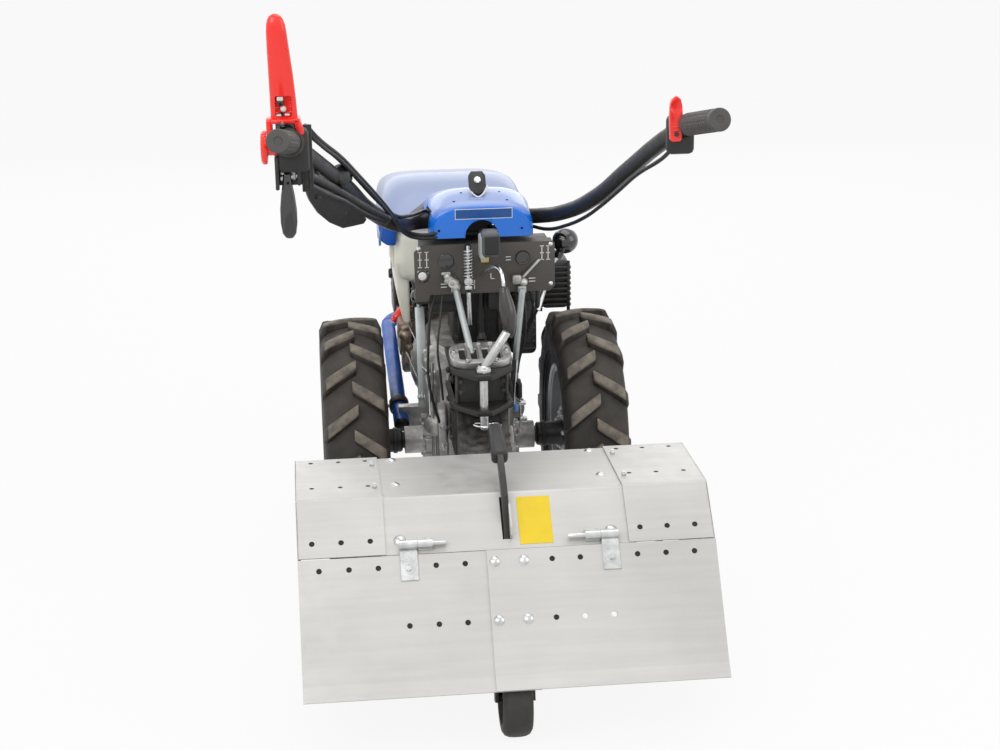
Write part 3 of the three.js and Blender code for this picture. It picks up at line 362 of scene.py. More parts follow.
def rgba(colour):
    return (*colour, 1)


def blended(tree, factor, one, other, how="MIX"):
    return add(tree, "ShaderNodeMix", {0: factor, 6: one, 7: other}, data_type="RGBA",
               blend_type=how).outputs[2]


def noise(tree, scale, detail=4, rough=0.55, stretch=(1, 1, 1), centre=(0, 0, 0)):
    spot = add(tree, "ShaderNodeTexCoord").outputs["Object"]
    placed = add(tree, "ShaderNodeMapping", {"Vector": spot, "Scale": stretch, "Location": centre}).outputs[0]
    return add(tree, "ShaderNodeTexNoise", {"Vector": placed, "Scale": scale, "Detail": detail,
                                            "Roughness": rough}).outputs["Fac"]


def spread(tree, value, low, high, to_low=0.0, to_high=1.0):
    return add(tree, "ShaderNodeMapRange", {"Value": value, "From Min": low, "From Max": high,
                                            "To Min": to_low, "To Max": to_high}).outputs[0]


def times(tree, one, other, how="MULTIPLY"):
    return add(tree, "ShaderNodeMath", {0: one, 1: other}, operation=how).outputs[0]


def link(tree, source, target):
    tree.links.new(source, target)


COLOUR, NUMBER = "NodeSocketColor", "NodeSocketFloat"

# broad light and dark patches, as on any part that has been handled
mottle, enter, leave = effect("Mottle", [("Colour", COLOUR, (1, 1, 1, 1)), ("Size", NUMBER, 14),
                                         ("Depth", NUMBER, 0.2)], [("Colour", COLOUR)])
patch = spread(mottle, noise(mottle, enter["Size"], 5), 0.32, 0.68, -1, 1)
level = times(mottle, times(mottle, patch, enter["Depth"]), 1.0, "ADD")
shade = add(mottle, "ShaderNodeCombineColor", {0: level, 1: level, 2: level}).outputs[0]
link(mottle, blended(mottle, 1.0, enter["Colour"], shade, "MULTIPLY"), leave["Colour"])

# rubbed edges that show what is under the finish
edge_wear, enter, leave = effect("Edge wear", [("Colour", COLOUR, (1, 1, 1, 1)),
                                               ("Bare", COLOUR, (.5, .5, .5, 1)), ("Amount", NUMBER, 0.5)],
                                 [("Colour", COLOUR), ("Mask", NUMBER)])
ridge = spread(edge_wear, add(edge_wear, "ShaderNodeNewGeometry").outputs["Pointiness"], 0.55, 0.66)
rubbed = times(edge_wear, ridge, spread(edge_wear, noise(edge_wear, 60, 6), 0.4, 0.6))
mask = times(edge_wear, rubbed, enter["Amount"])
link(edge_wear, blended(edge_wear, mask, enter["Colour"], enter["Bare"]), leave["Colour"])
link(edge_wear, mask, leave["Mask"])

# dust that settles where a face looks up
dust, enter, leave = effect("Dust", [("Colour", COLOUR, (1, 1, 1, 1)), ("Dust", COLOUR, (.3, .27, .22, 1)),
                                     ("Amount", NUMBER, 0.3)], [("Colour", COLOUR), ("Mask", NUMBER)])
facing_out = add(dust, "ShaderNodeNewGeometry").outputs["Normal"]
up = add(dust, "ShaderNodeSeparateXYZ", {0: facing_out}).outputs["Z"]
lying = times(dust, spread(dust, up, -0.2, 1), spread(dust, noise(dust, 35, 6), 0.35, 0.65, 0.3, 1))
mask = times(dust, lying, enter["Amount"])
link(dust, blended(dust, mask, enter["Colour"], enter["Dust"]), leave["Colour"])
link(dust, mask, leave["Mask"])

# fine unevenness of a moulded, cast or painted face
grain, enter, leave = effect("Grain", [("Size", NUMBER, 400), ("Depth", NUMBER, 0.2)], [("Height", NUMBER)])
link(grain, times(grain, noise(grain, enter["Size"], 3), enter["Depth"]), leave["Height"])


def use(tree, group, **sockets):
    """A placed effect, its sockets named with an underscore for a space."""
    node = tree.nodes.new("ShaderNodeGroup")
    node.node_tree = group
    for name, value in sockets.items():
        if isinstance(value, bpy.types.NodeSocket):
            tree.links.new(value, node.inputs[name])
        else:
            node.inputs[name].default_value = value
    return node.outputs


def finish(name, colour, rough, metal=0.0, coat=0.0, mottled=(14, 0.15), worn=None, dusty=None,
           grained=(500, 0.3), patches=0.08, paint=None):
    """A material of one base colour, with patches, worn edges, dust and grain; paint may recolour it."""
    material = bpy.data.materials.new(name)
    material.use_nodes = True
    material.diffuse_color = rgba(colour)
    tree = material.node_tree
    skin = tree.nodes["Principled BSDF"]
    skin.inputs["Metallic"].default_value = metal
    skin.inputs["Coat Weight"].default_value = coat
    skin.inputs["Coat Roughness"].default_value = 0.04
    shown = use(tree, mottle, Colour=rgba(colour), Size=mottled[0], Depth=mottled[1])["Colour"]
    if paint:
        shown = paint(tree, shown)
    if worn:
        shown = use(tree, edge_wear, Colour=shown, Bare=rgba(worn[0]), Amount=worn[1])["Colour"]
    roughness = spread(tree, noise(tree, 40, 5), 0.3, 0.7, max(0.03, rough - patches),
                       min(1, rough + patches))
    if dusty:
        lying = use(tree, dust, Colour=shown, Dust=rgba(dusty[0]), Amount=dusty[1])
        shown = lying["Colour"]
        roughness = times(tree, roughness, times(tree, lying["Mask"], 0.5), "ADD")
    link(tree, shown, skin.inputs["Base Color"])
    link(tree, roughness, skin.inputs["Roughness"])
    if grained:
        height = use(tree, grain, Size=grained[0], Depth=grained[1])["Height"]
        bump = add(tree, "ShaderNodeBump", {"Height": height, "Distance": 0.0006, "Strength": 0.6})
        link(tree, bump.outputs[0], skin.inputs["Normal"])
    return material


DUST = (0.30, 0.27, 0.22)
BARE_STEEL = (0.42, 0.41, 0.40)


def rolled(tree, colour):
    """Long faint streaks along the width of a rolled sheet, with a few cloudy handling marks."""
    streaks = spread(tree, noise(tree, 90, 4, stretch=(0.05, 1, 1)), 0.3, 0.7, 0.96, 1.03)
    clouds = spread(tree, noise(tree, 5, 3), 0.35, 0.65, 0.94, 1.03)
    level = times(tree, streaks, clouds)
    shade = add(tree, "ShaderNodeCombineColor", {0: level, 1: level, 2: level}).outputs[0]
    return blended(tree, 1.0, colour, shade, "MULTIPLY")


def lug_dust(tree, colour):
    """Pale dried soil on the tops of the tyre's lugs, told by their distance from the axle."""
    spot = add(tree, "ShaderNodeTexCoord").outputs["Object"]
    centred = add(tree, "ShaderNodeMapping", {"Vector": spot, "Location": (0, -AXLE.y, -AXLE.z)}).outputs[0]
    parts = add(tree, "ShaderNodeSeparateXYZ", {0: centred}).outputs
    square = times(tree, times(tree, parts["Y"], parts["Y"]), times(tree, parts["Z"], parts["Z"]), "ADD")
    reach = times(tree, square, 0.5, "POWER")
    top = spread(tree, reach, 0.2475, 0.2505)
    caked = times(tree, top, spread(tree, noise(tree, 45, 6), 0.3, 0.62, 0.25, 1.0))
    patchy = spread(tree, noise(tree, 18, 5), 0.4, 0.75, 0.0, 0.35)
    film = blended(tree, patchy, colour, rgba((0.075, 0.064, 0.052)))
    return blended(tree, caked, film, rgba((0.245, 0.215, 0.170)))


def painted_sky_sheen(low, high, amount, pale=(0.45, 0.50, 0.63)):
    """A painted sky sheen: the colour pales towards lavender where a face looks up, standing in for the
    reflection of the bright sky on the gloss paint.
    """
    def paint(tree, colour):
        normal = add(tree, "ShaderNodeNewGeometry").outputs["Normal"]
        up = add(tree, "ShaderNodeSeparateXYZ", {0: normal}).outputs["Z"]
        return blended(tree, spread(tree, up, low, high, 0, amount), colour, rgba(pale))
    return paint


# the cowl's and the bonnet's blues carry a painted sky sheen, paler where their faces look up
GLOSS_BLUE = finish("gloss_blue", (0.004, 0.185, 0.800), 0.22, coat=0.35, mottled=(6, 0.04),
                    grained=(60, 0.10), patches=0.03, paint=painted_sky_sheen(0.35, 0.85, 0.64))
BONNET_BLUE = finish("bonnet_blue", (0.060, 0.180, 0.560), 0.36, coat=0.2, mottled=(6, 0.04),
                     grained=(60, 0.10), patches=0.03, paint=painted_sky_sheen(-0.05, 0.42, 0.85, (0.36, 0.41, 0.57)))
TUBE_BLUE = finish("tube_blue", (0.004, 0.100, 0.500), 0.42, mottled=(12, 0.08),
                   grained=(60, 0.06))
LABEL_BLUE = finish("label_blue", (0.010, 0.090, 0.330), 0.35, mottled=(40, 0.08))
CREAM = finish("cream_plastic", (0.98, 0.95, 0.80), 0.34, mottled=(9, 0.06), grained=(900, 0.2))
SHEET = finish("rolled_sheet", (0.56, 0.55, 0.53), 0.52, metal=0.62, mottled=(4, 0.03), grained=(700, 0.12),
               patches=0.06, paint=rolled)
DULL_ZINC = finish("dull_zinc", (0.46, 0.49, 0.49), 0.46, metal=0.75, mottled=(30, 0.08), grained=(900, 0.1))
ZINC = finish("zinc_plate", (0.60, 0.61, 0.61), 0.30, metal=1.0, mottled=(80, 0.14), grained=(900, 0.2))
CHROME = finish("chrome", (0.78, 0.79, 0.80), 0.10, metal=1.0, mottled=(50, 0.05), grained=None, patches=0.04)
CAST = finish("cast_alloy", (0.52, 0.51, 0.49), 0.44, metal=0.8, mottled=(38, 0.32),
              worn=((0.75, 0.75, 0.74), 0.8), dusty=((0.20, 0.18, 0.15), 0.22), grained=(330, 1.2),
              patches=0.12)
RIM_GREY = finish("rim_grey", (0.36, 0.37, 0.38), 0.36, metal=0.6, mottled=(10, 0.12), dusty=(DUST, 0.25))
ENGINE = finish("engine_iron", (0.105, 0.092, 0.078), 0.5, metal=0.5, mottled=(28, 0.35),
                worn=(BARE_STEEL, 0.7), dusty=(DUST, 0.3), grained=(300, 1.0))
BLACK_PAINT = finish("black_paint", (0.013, 0.0120, 0.0110), 0.42, mottled=(25, 0.2),
                     worn=((0.09, 0.09, 0.09), 0.6), dusty=((0.10, 0.095, 0.085), 0.12), grained=(120, 0.10))
ROUGH_BLACK = finish("rough_black", (0.016, 0.015, 0.015), 0.5, mottled=(25, 0.3),
                     worn=((0.12, 0.115, 0.11), 0.8), dusty=((0.12, 0.105, 0.09), 0.22), grained=(260, 1.0))
CONSOLE = finish("console_grey", (0.078, 0.070, 0.062), 0.55, mottled=(20, 0.10), grained=(1100, 0.8),
                 patches=0.05)
BLACK_PLASTIC = finish("black_plastic", (0.013, 0.013, 0.014), 0.38, mottled=(30, 0.15), grained=(1000, 0.6))
GLOSS_BLACK = finish("gloss_black", (0.008, 0.008, 0.009), 0.08, coat=1.0, mottled=(30, 0.1), grained=None,
                     patches=0.03)
KNOB_GREY = finish("knob_grey", (0.085, 0.092, 0.095), 0.42, mottled=(30, 0.1), grained=(900, 0.6))
PALE_GREY = finish("pale_plastic", (0.40, 0.41, 0.41), 0.42, mottled=(30, 0.08), grained=(900, 0.5))
TYRE = finish("tyre_rubber", (0.027, 0.023, 0.020), 0.62, mottled=(30, 0.25),
              dusty=((0.11, 0.095, 0.078), 0.25), grained=(240, 1.1), paint=lug_dust)
PLAIN_RUBBER = finish("plain_rubber", (0.030, 0.028, 0.026), 0.6, mottled=(30, 0.25), grained=(260, 1.0),
                      dusty=((0.14, 0.12, 0.10), 0.3))
GRIP = finish("grip_rubber", (0.070, 0.066, 0.062), 0.55, mottled=(40, 0.2), dusty=((0.18, 0.17, 0.16), 0.3),
              grained=(700, 1.0))
HANGING_GRIP = finish("hanging_grip", (0.042, 0.038, 0.034), 0.24, coat=0.4, mottled=(25, 0.15),
                      grained=(900, 0.2))
RED = finish("red_plastic", (1.0, 0.030, 0.020), 0.26, coat=0.35, mottled=(20, 0.04), grained=(800, 0.15))
TINE = finish("tine_steel", (0.035, 0.037, 0.042), 0.45, metal=0.4, mottled=(20, 0.3), worn=(BARE_STEEL, 0.9),
              grained=(300, 0.8))
MARK_WHITE = finish("mark_white", (0.78, 0.78, 0.76), 0.5, mottled=(60, 0.05), grained=None)
SIGN_YELLOW = finish("sign_yellow", (0.86, 0.62, 0.02), 0.35, mottled=(30, 0.04), grained=(900, 0.1))
# a near-black for painted shade, put in holes and openings where shade falls
SHADE_BLACK = finish("painted_shade_black", (0.006, 0.006, 0.006), 0.7, mottled=(30, 0.2), grained=None)

# the tank's thin milky wall lets light spread inside it
milky = CREAM.node_tree.nodes["Principled BSDF"].inputs
milky["Subsurface Weight"].default_value = 0.4
milky["Subsurface Radius"].default_value = (1.0, 0.95, 0.8)
milky["Subsurface Scale"].default_value = 0.03

# ------------------------------------------------------------------ camera, floor and lights

def looking(yaw, down, roll):
    """The camera's turn: yaw from +Y towards +X, down from level, and roll, in degrees."""
    yaw, down, roll = (math.radians(angle) for angle in (yaw, down, roll))
    ahead = Vector((math.sin(yaw) * math.cos(down), math.cos(yaw) * math.cos(down), -math.sin(down)))
    side = Vector((math.cos(yaw), -math.sin(yaw), 0))
    above = side.cross(ahead)
    right = side * math.cos(roll) + above * math.sin(roll)
    upper = above * math.cos(roll) - side * math.sin(roll)
    return Matrix((right, upper, -ahead)).transposed().to_4x4()


camera = bpy.data.objects.new("camera", bpy.data.cameras.new("camera"))
camera.data.lens = 68.4
camera.data.sensor_width = 36
camera.matrix_world = Matrix.Translation(PLACE @ point(-321, -3677, 1558)) @ looking(6.0, 17.6, -0.75)
bpy.context.scene.collection.objects.link(camera)
bpy.context.scene.camera = camera
bpy.context.scene.view_settings.view_transform = "Standard"

studio = bpy.data.worlds.new("studio")
bpy.context.scene.world = studio
studio.use_nodes = True
sky = studio.node_tree
path = add(sky, "ShaderNodeLightPath").outputs
seen = times(sky, times(sky, path["Is Camera Ray"], path["Is Glossy Ray"], "MAXIMUM"),
             path["Is Transmission Ray"], "MAXIMUM")
strength = spread(sky, seen, 0, 1, 0.56, 1.0)
background = sky.nodes["Background"]
background.inputs["Color"].default_value = (1, 1, 1, 1)
link(sky, strength, background.inputs["Strength"])

floor_shape = bmesh.new()
bmesh.ops.create_grid(floor_shape, x_segments=1, y_segments=1, size=30)
floor_mesh = bpy.data.meshes.new("floor")
floor_shape.to_mesh(floor_mesh)
floor_shape.free()
floor = bpy.data.objects.new("floor", floor_mesh)
bpy.context.scene.collection.objects.link(floor)
paper = bpy.data.materials.new("paper")
paper.use_nodes = True
sheet_tree = paper.node_tree
paper_skin = sheet_tree.nodes["Principled BSDF"]
paper_skin.inputs["Roughness"].default_value = 0.9
paper_skin.inputs["Specular IOR Level"].default_value = 0.0
paper_skin.inputs["Base Color"].default_value = (0.82, 0.82, 0.81, 1)
rays = add(sheet_tree, "ShaderNodeLightPath").outputs
bright = add(sheet_tree, "ShaderNodeEmission", {"Color": (1, 1, 1, 1), "Strength": 1.0}).outputs[0]
lit = spread(sheet_tree, rays["Is Glossy Ray"], 0, 1, 0, 0.55)
lit = times(sheet_tree, lit, times(sheet_tree, rays["Is Camera Ray"], 0.9), "MAXIMUM")
both = add(sheet_tree, "ShaderNodeMixShader", {0: lit, 1: paper_skin.outputs[0], 2: bright}).outputs[0]
link(sheet_tree, both, sheet_tree.nodes["Material Output"].inputs["Surface"])
floor_mesh.materials.append(paper)


def lamp(name, place, aim, size, watts):
    light = bpy.data.lights.new(name, "AREA")
    light.shape = "RECTANGLE"
    light.size, light.size_y = size
    light.energy = watts
    item = bpy.data.objects.new(name, light)
    start, end = PLACE @ Vector(place), PLACE @ Vector(aim)
    turn = (end - start).to_track_quat("-Z", "Y").to_matrix().to_4x4()
    item.matrix_world = Matrix.Translation(start) @ turn
    bpy.context.scene.collection.objects.link(item)


MIDDLE = point(0, -200, 450)
lamp("key", (-1900, -3000, 2900), MIDDLE, (2.6, 2.0), 51)
lamp("fill", (2600, -1800, 1800), MIDDLE, (2.0, 2.0), 18)
lamp("top", (200, 0, 3200), MIDDLE, (2.6, 2.0), 24)
lamp("back", (100, 3600, 2100), MIDDLE, (4.2, 2.2), 36)


# ------------------------------------------------------------------ drive wheels

TYRE_REACH = 255
LUGS = 16
WHEEL_AXIS = ((0, 0, 0), (1, 0, 0))
CROWN = [(0, 238), (26, 237), (46, 234), (56, 229), (61.5, 218), (63.5, 200), (62.5, 184), (58, 168),
         (52, 156), (48.5, 147), (46.5, 140), (46.5, 134)]


def crown_height(x):
    """The carcass radius at x from the tyre's middle, over the tread."""
    for (near, high), (far, low) in zip(CROWN, CROWN[1:]):
        if x <= far:
            return high + (low - high) * (x - near) / (far - near)
    return CROWN[-1][1]


def lug(side):
    """One slanting lug: its inner end is past the tyre's middle, its outer end runs over the shoulder."""
    shape = bmesh.new()
    bmesh.ops.create_grid(shape, x_segments=8, y_segments=2, size=0.5)
    drawn = bmesh.ops.extrude_face_region(shape, geom=shape.faces[:])
    for spot in corners_of(drawn):
        spot.co.z = 1
    bmesh.ops.recalc_face_normals(shape, faces=shape.faces)
    for spot in shape.verts:
        along, cross, top = spot.co.x + 0.5, spot.co.y, spot.co.z
        x = -5 + 68 * along
        wide = (19 + 5 * along) + (1 - top) * 13
        sink = max(0, x - 52)
        height = crown_height(abs(x)) - 4
        if top > 0.5:
            height = TYRE_REACH - 1.8 * (max(x, 0) / 40) ** 2 - sink ** 2 * 0.155
            x = min(x, 62.8)
        slant = -46 * along + cross * wide
        turn = slant / 240
        spot.co = (side * x, -height * math.cos(turn), height * math.sin(turn))
    bmesh.ops.recalc_face_normals(shape, faces=shape.faces)
    return softened(shape, 1.8, 1, 48)


def tyre(name):
    low, high = room(f"{name}_tyre")
    middle = (low + high) / 2
    inward = [(r, x) for x, r in CROWN]
    section = list(reversed([(r, -x) for r, x in inward]))[:-1] + inward
    section = section + [(131.6, 40), (131.6, -40), section[0]]
    carcass = turned(section, *WHEEL_AXIS, 128)
    ribs = [turned([(r - 1, x - 1.2), (r + 1.4, x), (r - 1, x + 1.2)], *WHEEL_AXIS, 96)
            for r, x in ((172, 59.6), (163, 55.8), (172, -59.6), (163, -55.8))]
    pitch = 2 * math.pi / LUGS
    right = ring_of(lug(1), LUGS, *WHEEL_AXIS)
    left = ring_of(lug(-1), LUGS, *WHEEL_AXIS, pitch / 2)
    whole = merged(carcass, right, left, *ribs)
    moved(whole, Matrix.Translation(middle))
    piece(f"{name}_tyre_treaded", whole, TYRE, f"{name}_wheel", (f"{name}_tyre",), smooth=40)


def rim(name, side):
    """The pressed wheel: rolled flanges, a dropped well and a dished disc with hand holes inside it."""
    low, high = room(f"{name}_rim")
    middle = (low + high) / 2
    disc = -side * 30
    half = [(143.5, 52.6), (142.5, 49), (137, 47.4), (131.4, 47.2), (131.2, 30), (122, 24), (121, 12),
            (121, 0)]
    outer = half + [(r, -x) for r, x in reversed(half[:-1])]
    inner = [(r - 3.2, x) for r, x in reversed(outer[1:-1])]
    hoop = turned(outer + [(141.5, -53)] + inner + [(141.5, 53), outer[0]], *WHEEL_AXIS, 96)
    face = [(25, disc), (58, disc), (66, disc + side * 6), (92, disc + side * 12), (108, disc + side * 4),
            (117.6, disc + side * 2), (117.6, disc + side * 12)]
    back = [(r - (1 if r > 100 else 0), x + side * 4) for r, x in reversed(face[:-1])]
    dish = turned(face + [(114, disc + side * 12)] + back + [face[0]], *WHEEL_AXIS, 96)
    holes = ring_of(rod((disc - 40, 0, 88), (disc + 40, 0, 88), 13, sides=24), 6, *WHEEL_AXIS)
    dish = carved(dish, holes)
    valve = rod((disc + side * 20, 0, 112), (disc + side * 48, 0, 106), 3.4, sides=10)
    whole = moved(merged(hoop, dish, valve), Matrix.Translation(middle))
    piece(f"{name}_wheel_disc", whole, RIM_GREY, f"{name}_wheel", (f"{name}_rim",))


def hub(name, side):
    low, high = room(f"{name}_hub")
    centre = point(0, 0, (low.z + high.z) / 2)
    inner, flange = side * 138, side * 202.2
    out = (side, 0, 0)
    body = turned([(0, side * 97), (17, side * 97), (17, inner), (21, inner), (24, inner + side * 3),
                   (24, flange - side * 22), (29, flange - side * 11), (56, flange - side * 10),
                   (58, flange - side * 8), (58, flange), (24, flange), (24, flange + side * 13),
                   (20, flange + side * 16), (0, flange + side * 16)], *WHEEL_AXIS, 64)
    bolts = ring_of(bolt((flange - side * 10, 0, 44), (-side, 0, 0), 7), 5, *WHEEL_AXIS)
    collar = turned([(24, inner + side * 10), (26.5, inner + side * 11), (26.5, inner + side * 18),
                     (24, inner + side * 19)], *WHEEL_AXIS, 48)
    whole = moved(merged(body, collar), Matrix.Translation(centre))
    piece(f"{name}_hub_body", whole, BLACK_PAINT, f"{name}_wheel", (f"{name}_hub",))
    piece(f"{name}_hub_bolts", moved(bolts, Matrix.Translation(centre)), ZINC, f"{name}_wheel")


for name, side in (("left", -1), ("right", 1)):
    tyre(name)
    rim(name, side)
    hub(name, side)


# ------------------------------------------------------------------ tiller hood and flap

THICK = 3
GAP = 0.3
FRONT_Y, FRONT_Z = -435, 375
BEND_Y, BEND_Z = -647, 381
HOOD_LINE = [(FRONT_Y, FRONT_Z), (BEND_Y, BEND_Z), (-723, 307)]
FLAP_LINE = [(-724.4, 305.6), (-848, 132), (-866, 113)]
BACK_LINE = HOOD_LINE[1:]
BACK_LENGTH = 106.1


def on_line(line, down, out=0.0):
    """The (y, z) spot at a distance down a straight from its first point, and out from its face."""
    start, end = Vector(line[0]), Vector(line[1])
    way = (end - start).normalized()
    normal = Vector((way.y, -way.x))
    spot = start + way * down + normal * out
    return spot.x, spot.y


def along_line(line, spots):
    """The (y, z) outline through (down, out) spots on one straight."""
    return [on_line(line, down, out) for down, out in spots]


def face_out(line):
    """The direction away from a straight's outer face, as a vector."""
    way = (Vector(line[1]) - Vector(line[0])).normalized()
    return point(0, way.y, -way.x)


def lifted(line, lift):
    """The bent line moved outwards by the lift."""
    moved_line = []
    for i, corner in enumerate(line):
        ways = [(Vector(b) - Vector(a)).normalized() for a, b in zip(line, line[1:])]
        before, after = ways[max(0, i - 1)], ways[min(len(ways) - 1, i)]
        out = Vector((before.y, -before.x)) + Vector((after.y, -after.x))
        moved_line.append(tuple(Vector(corner) + out * (2 * lift / out.length_squared)))
    return moved_line


def holes_in(line, spots, radius=4.8, reach=14):
    """Cylinders through a sheet at (x, down) spots on one straight of it."""
    out = face_out(line)
    drills = []
    for x, down in spots:
        centre = point(x, *on_line(line, down))
        drills.append(rod(centre - out * reach, centre + out * reach, radius, sides=20))
    return merged(*drills)


def top_height(ahead):
    """The hood's top face at a distance ahead of its bend."""
    return BEND_Z - (BEND_Z - FRONT_Z) * ahead / (FRONT_Y - BEND_Y)


top_spots = [(side * x, down) for side in (-1, 1) for x in (229, 277, 326) for down in (57, 194)]
back_left = [(x, 80) for x in (-330, -281, -232)]
back_right = [(x, 80) for x in (323, 275, 228)]

centre_sheet = bent_sheet(HOOD_LINE, -215, 215, THICK)
slot_cut = plate(along_line(BACK_LINE, [(9, -20), (9, 20), (88, 20), (88, -20)]), "x", -8, 8)
centre_sheet = carved(centre_sheet, slot_cut)
lug_line = along_line(BACK_LINE, [(88, -1), (88, 16), (76, 24), (34, 24), (24, 14), (24, -1)])
lug_plate = plate(lug_line, "x", 4.4, 8, 0.6)
piece("hood_middle", merged(centre_sheet, lug_plate), SHEET, "chassis", ("hood_centre",))

EDGE = 355
LAP = 207
OUTER_LINE = lifted(HOOD_LINE, THICK + GAP)
for name, side in (("left", -1), ("right", 1)):
    low, high = sorted((side * LAP, side * EDGE))
    skin = bent_sheet(OUTER_LINE, low, high, THICK)
    spots = [(x, BEND_Y + ahead) for x, ahead in top_spots if x * side > 0]
    top_drills = merged(*[rod((x, y, 360), (x, y, 395), 4.4, sides=20) for x, y in spots])
    skin = carved(skin, top_drills, holes_in(BACK_LINE, back_left if side < 0 else back_right))
    rear_top = on_line(FLAP_LINE, 0, -GAP)
    rear_low = on_line(FLAP_LINE, 112, -GAP)
    arch = [(-715, 128), (-700, 118), (-490, 118), (-462, 136), (-432, 190)]
    cheek = plate([*OUTER_LINE, rear_top, rear_low, (-764, 150), *arch], "x", side * EDGE,
                  side * (EDGE - THICK), 0.8, 1)
    piece(f"hood_{name}_wing", merged(skin, cheek), SHEET, "chassis", (f"hood_{name}",))
    screws = []
    for y in (-600, -480):
        z = OUTER_LINE[0][1] + (BEND_Z - FRONT_Z) * (FRONT_Y - y) / (FRONT_Y - BEND_Y)
        screws.append(bolt((side * 218, y, z), (0, 0, 1), 5.5, washer=False))
    piece(f"hood_{name}_screws", merged(*screws), ZINC, "chassis")

top_bolts = []
for x in (-182, 180):
    for ahead in (65, 200):
        top_bolts.append(bolt((x, BEND_Y + ahead, top_height(ahead)), (0, 0, 1), 9, domed=True))
for x, down in ((-182, 81), (178, 82)):
    top_bolts.append(bolt(point(x, *on_line(BACK_LINE, down)), face_out(BACK_LINE), 11, domed=True))
piece("hood_bolts", merged(*top_bolts), ZINC, "chassis")


def hole_shade_discs(line, spots, lift=0.0):
    """Near-black discs sunk in a row of holes: painted shade, standing in for the dark under the sheet seen
    through them.
    """
    inward = face_out(line) * -1.6
    starts = [point(x, *on_line(line, down, lift - 0.8)) for x, down in spots]
    return [rod(start, start + inward, 4.7, sides=20) for start in starts]


# the hood's holes are closed with near-black discs: painted shade seen through them
shaded_holes = hole_shade_discs(BACK_LINE, back_left + back_right, THICK + GAP)
for x, ahead in top_spots:
    y, z = BEND_Y + ahead, top_height(ahead)
    shaded_holes.append(rod((x, y, z + 2.6), (x, y, z + 1), 4.3, sides=20))
piece("hood_hole_shade", merged(*shaded_holes), SHADE_BLACK, "chassis")

flap_holes_up = [(x, 20) for x in (-320, -270, -221, -124, -75, 72, 120, 218, 267, 316)]
flap_holes_low = [(x, 120) for x in (-174, -125, -77, 71, 120, 169)]
UPPER_LIFT = 2 * THICK + GAP
flap_sheets = (("left", -EDGE, 38, THICK), ("right", -38, EDGE, UPPER_LIFT))
for name, low, high, lift in flap_sheets:
    skin = bent_sheet(lifted(FLAP_LINE, lift), low, high, THICK, radius=6)
    spots = [spot for spot in flap_holes_up + flap_holes_low if low - 5 < spot[0] < high + 5]
    skin = carved(skin, holes_in(FLAP_LINE, spots))
    piece(f"flap_{name}_sheet", skin, SHEET, "rear_flap", (f"flap_{name}",))
# the flap's holes get near-black discs too: painted shade
left_shaded_holes = [(x, down) for x, down in flap_holes_up + flap_holes_low if x < -38]
right_shaded_holes = [(x, down) for x, down in flap_holes_up + flap_holes_low if x > 38 and (down < 50 or x < 100)]
shaded_holes = hole_shade_discs(FLAP_LINE, left_shaded_holes, THICK) + hole_shade_discs(FLAP_LINE, right_shaded_holes, UPPER_LIFT)
piece("flap_hole_shade", merged(*shaded_holes), SHADE_BLACK, "rear_flap")
seam_bolts = []
for x in (-25, 24):
    for down in (20, 120):
        centre = point(x, *on_line(FLAP_LINE, down, UPPER_LIFT))
        seam_bolts.append(bolt(centre, face_out(FLAP_LINE), 9.5, domed=True))
piece("flap_seam_bolts", merged(*seam_bolts), ZINC, "rear_flap")

HINGE_AXIS = point(0, -719.2, 323.2)
BESIDE_AXIS = HINGE_AXIS + point(1, 0, 0)


def knuckle_tube(bore, low, high):
    """A piece of hinge tube between two distances along the hinge's axis."""
    return turned([(bore, low), (8, low), (8, high), (bore, high), (bore, low)], HINGE_AXIS, BESIDE_AXIS, 32)


hinges = (("left", (-153.4, -128), (-184, -105), (-184, -154), THICK, -171),
          ("right", (131, 157.4), (102, 188), (158, 188), UPPER_LIFT, 174))
strap_line = along_line(BACK_LINE, [(BACK_LENGTH - 6, 0.3), (BACK_LENGTH - 6, 3.4), (BACK_LENGTH - 28, 3.4),
                                    (BACK_LENGTH - 28, 0.3)])
web_line = along_line(BACK_LINE, [(BACK_LENGTH - 10, 2), (BACK_LENGTH - 10, 8), (BACK_LENGTH - 20, 8),
                                  (BACK_LENGTH - 22, 2)])
for name, knuckle, pin, leaf, lift, bolt_x in hinges:
    shaft = rod(HINGE_AXIS + point(pin[0], 0, 0), HINGE_AXIS + point(pin[1], 0, 0), 4.3, sides=20, soft=1.2)
    strap = plate(strap_line, "x", *knuckle, 0.8, 1)
    web = plate(web_line, "x", *knuckle)
    piece(f"hinge_{name}_pin", merged(knuckle_tube(4.6, *knuckle), shaft, strap, web), ZINC, "chassis",
          (f"hinge_{name}",))
    leaf_line = along_line(FLAP_LINE, [(44, lift), (44, lift + 3), (-4, lift + 3), (-10, lift + 1),
                                       (-10, lift - 2)])
    leaf_plate = plate(leaf_line, "x", *leaf, 0.7, 1)
    leaf_bolt = bolt(point(bolt_x, *on_line(FLAP_LINE, 24, lift + 3)), face_out(FLAP_LINE), 7)
    piece(f"hinge_{name}_leaf", merged(knuckle_tube(5.4, *leaf), leaf_plate, leaf_bolt), ZINC, "rear_flap")

sign = plate(along_line(BACK_LINE, [(11, 0), (11, 0.7), (99, 0.7), (99, 0)]), "x", 21, 78, 0.3, 1)
piece("yellow_plate", sign, SIGN_YELLOW, "chassis")


# ------------------------------------------------------------------ cowl and bonnet

def crown_outline(left, right, bottom, top, fullness, steps=48, below=60):
    """A rounded crown from side to side, closed a little under its bottom edge."""
    middle, half = (left + right) / 2, (right - left) / 2
    spots = []
    for i in range(steps + 1):
        turn = math.pi * i / steps
        side = signed_power(math.cos(turn), 2 / fullness)
        spots.append((middle + side * half, bottom + math.sin(turn) ** (2 / fullness) * (top - bottom)))
    return spots + [(middle - half, bottom - below), (middle + half, bottom - below)]


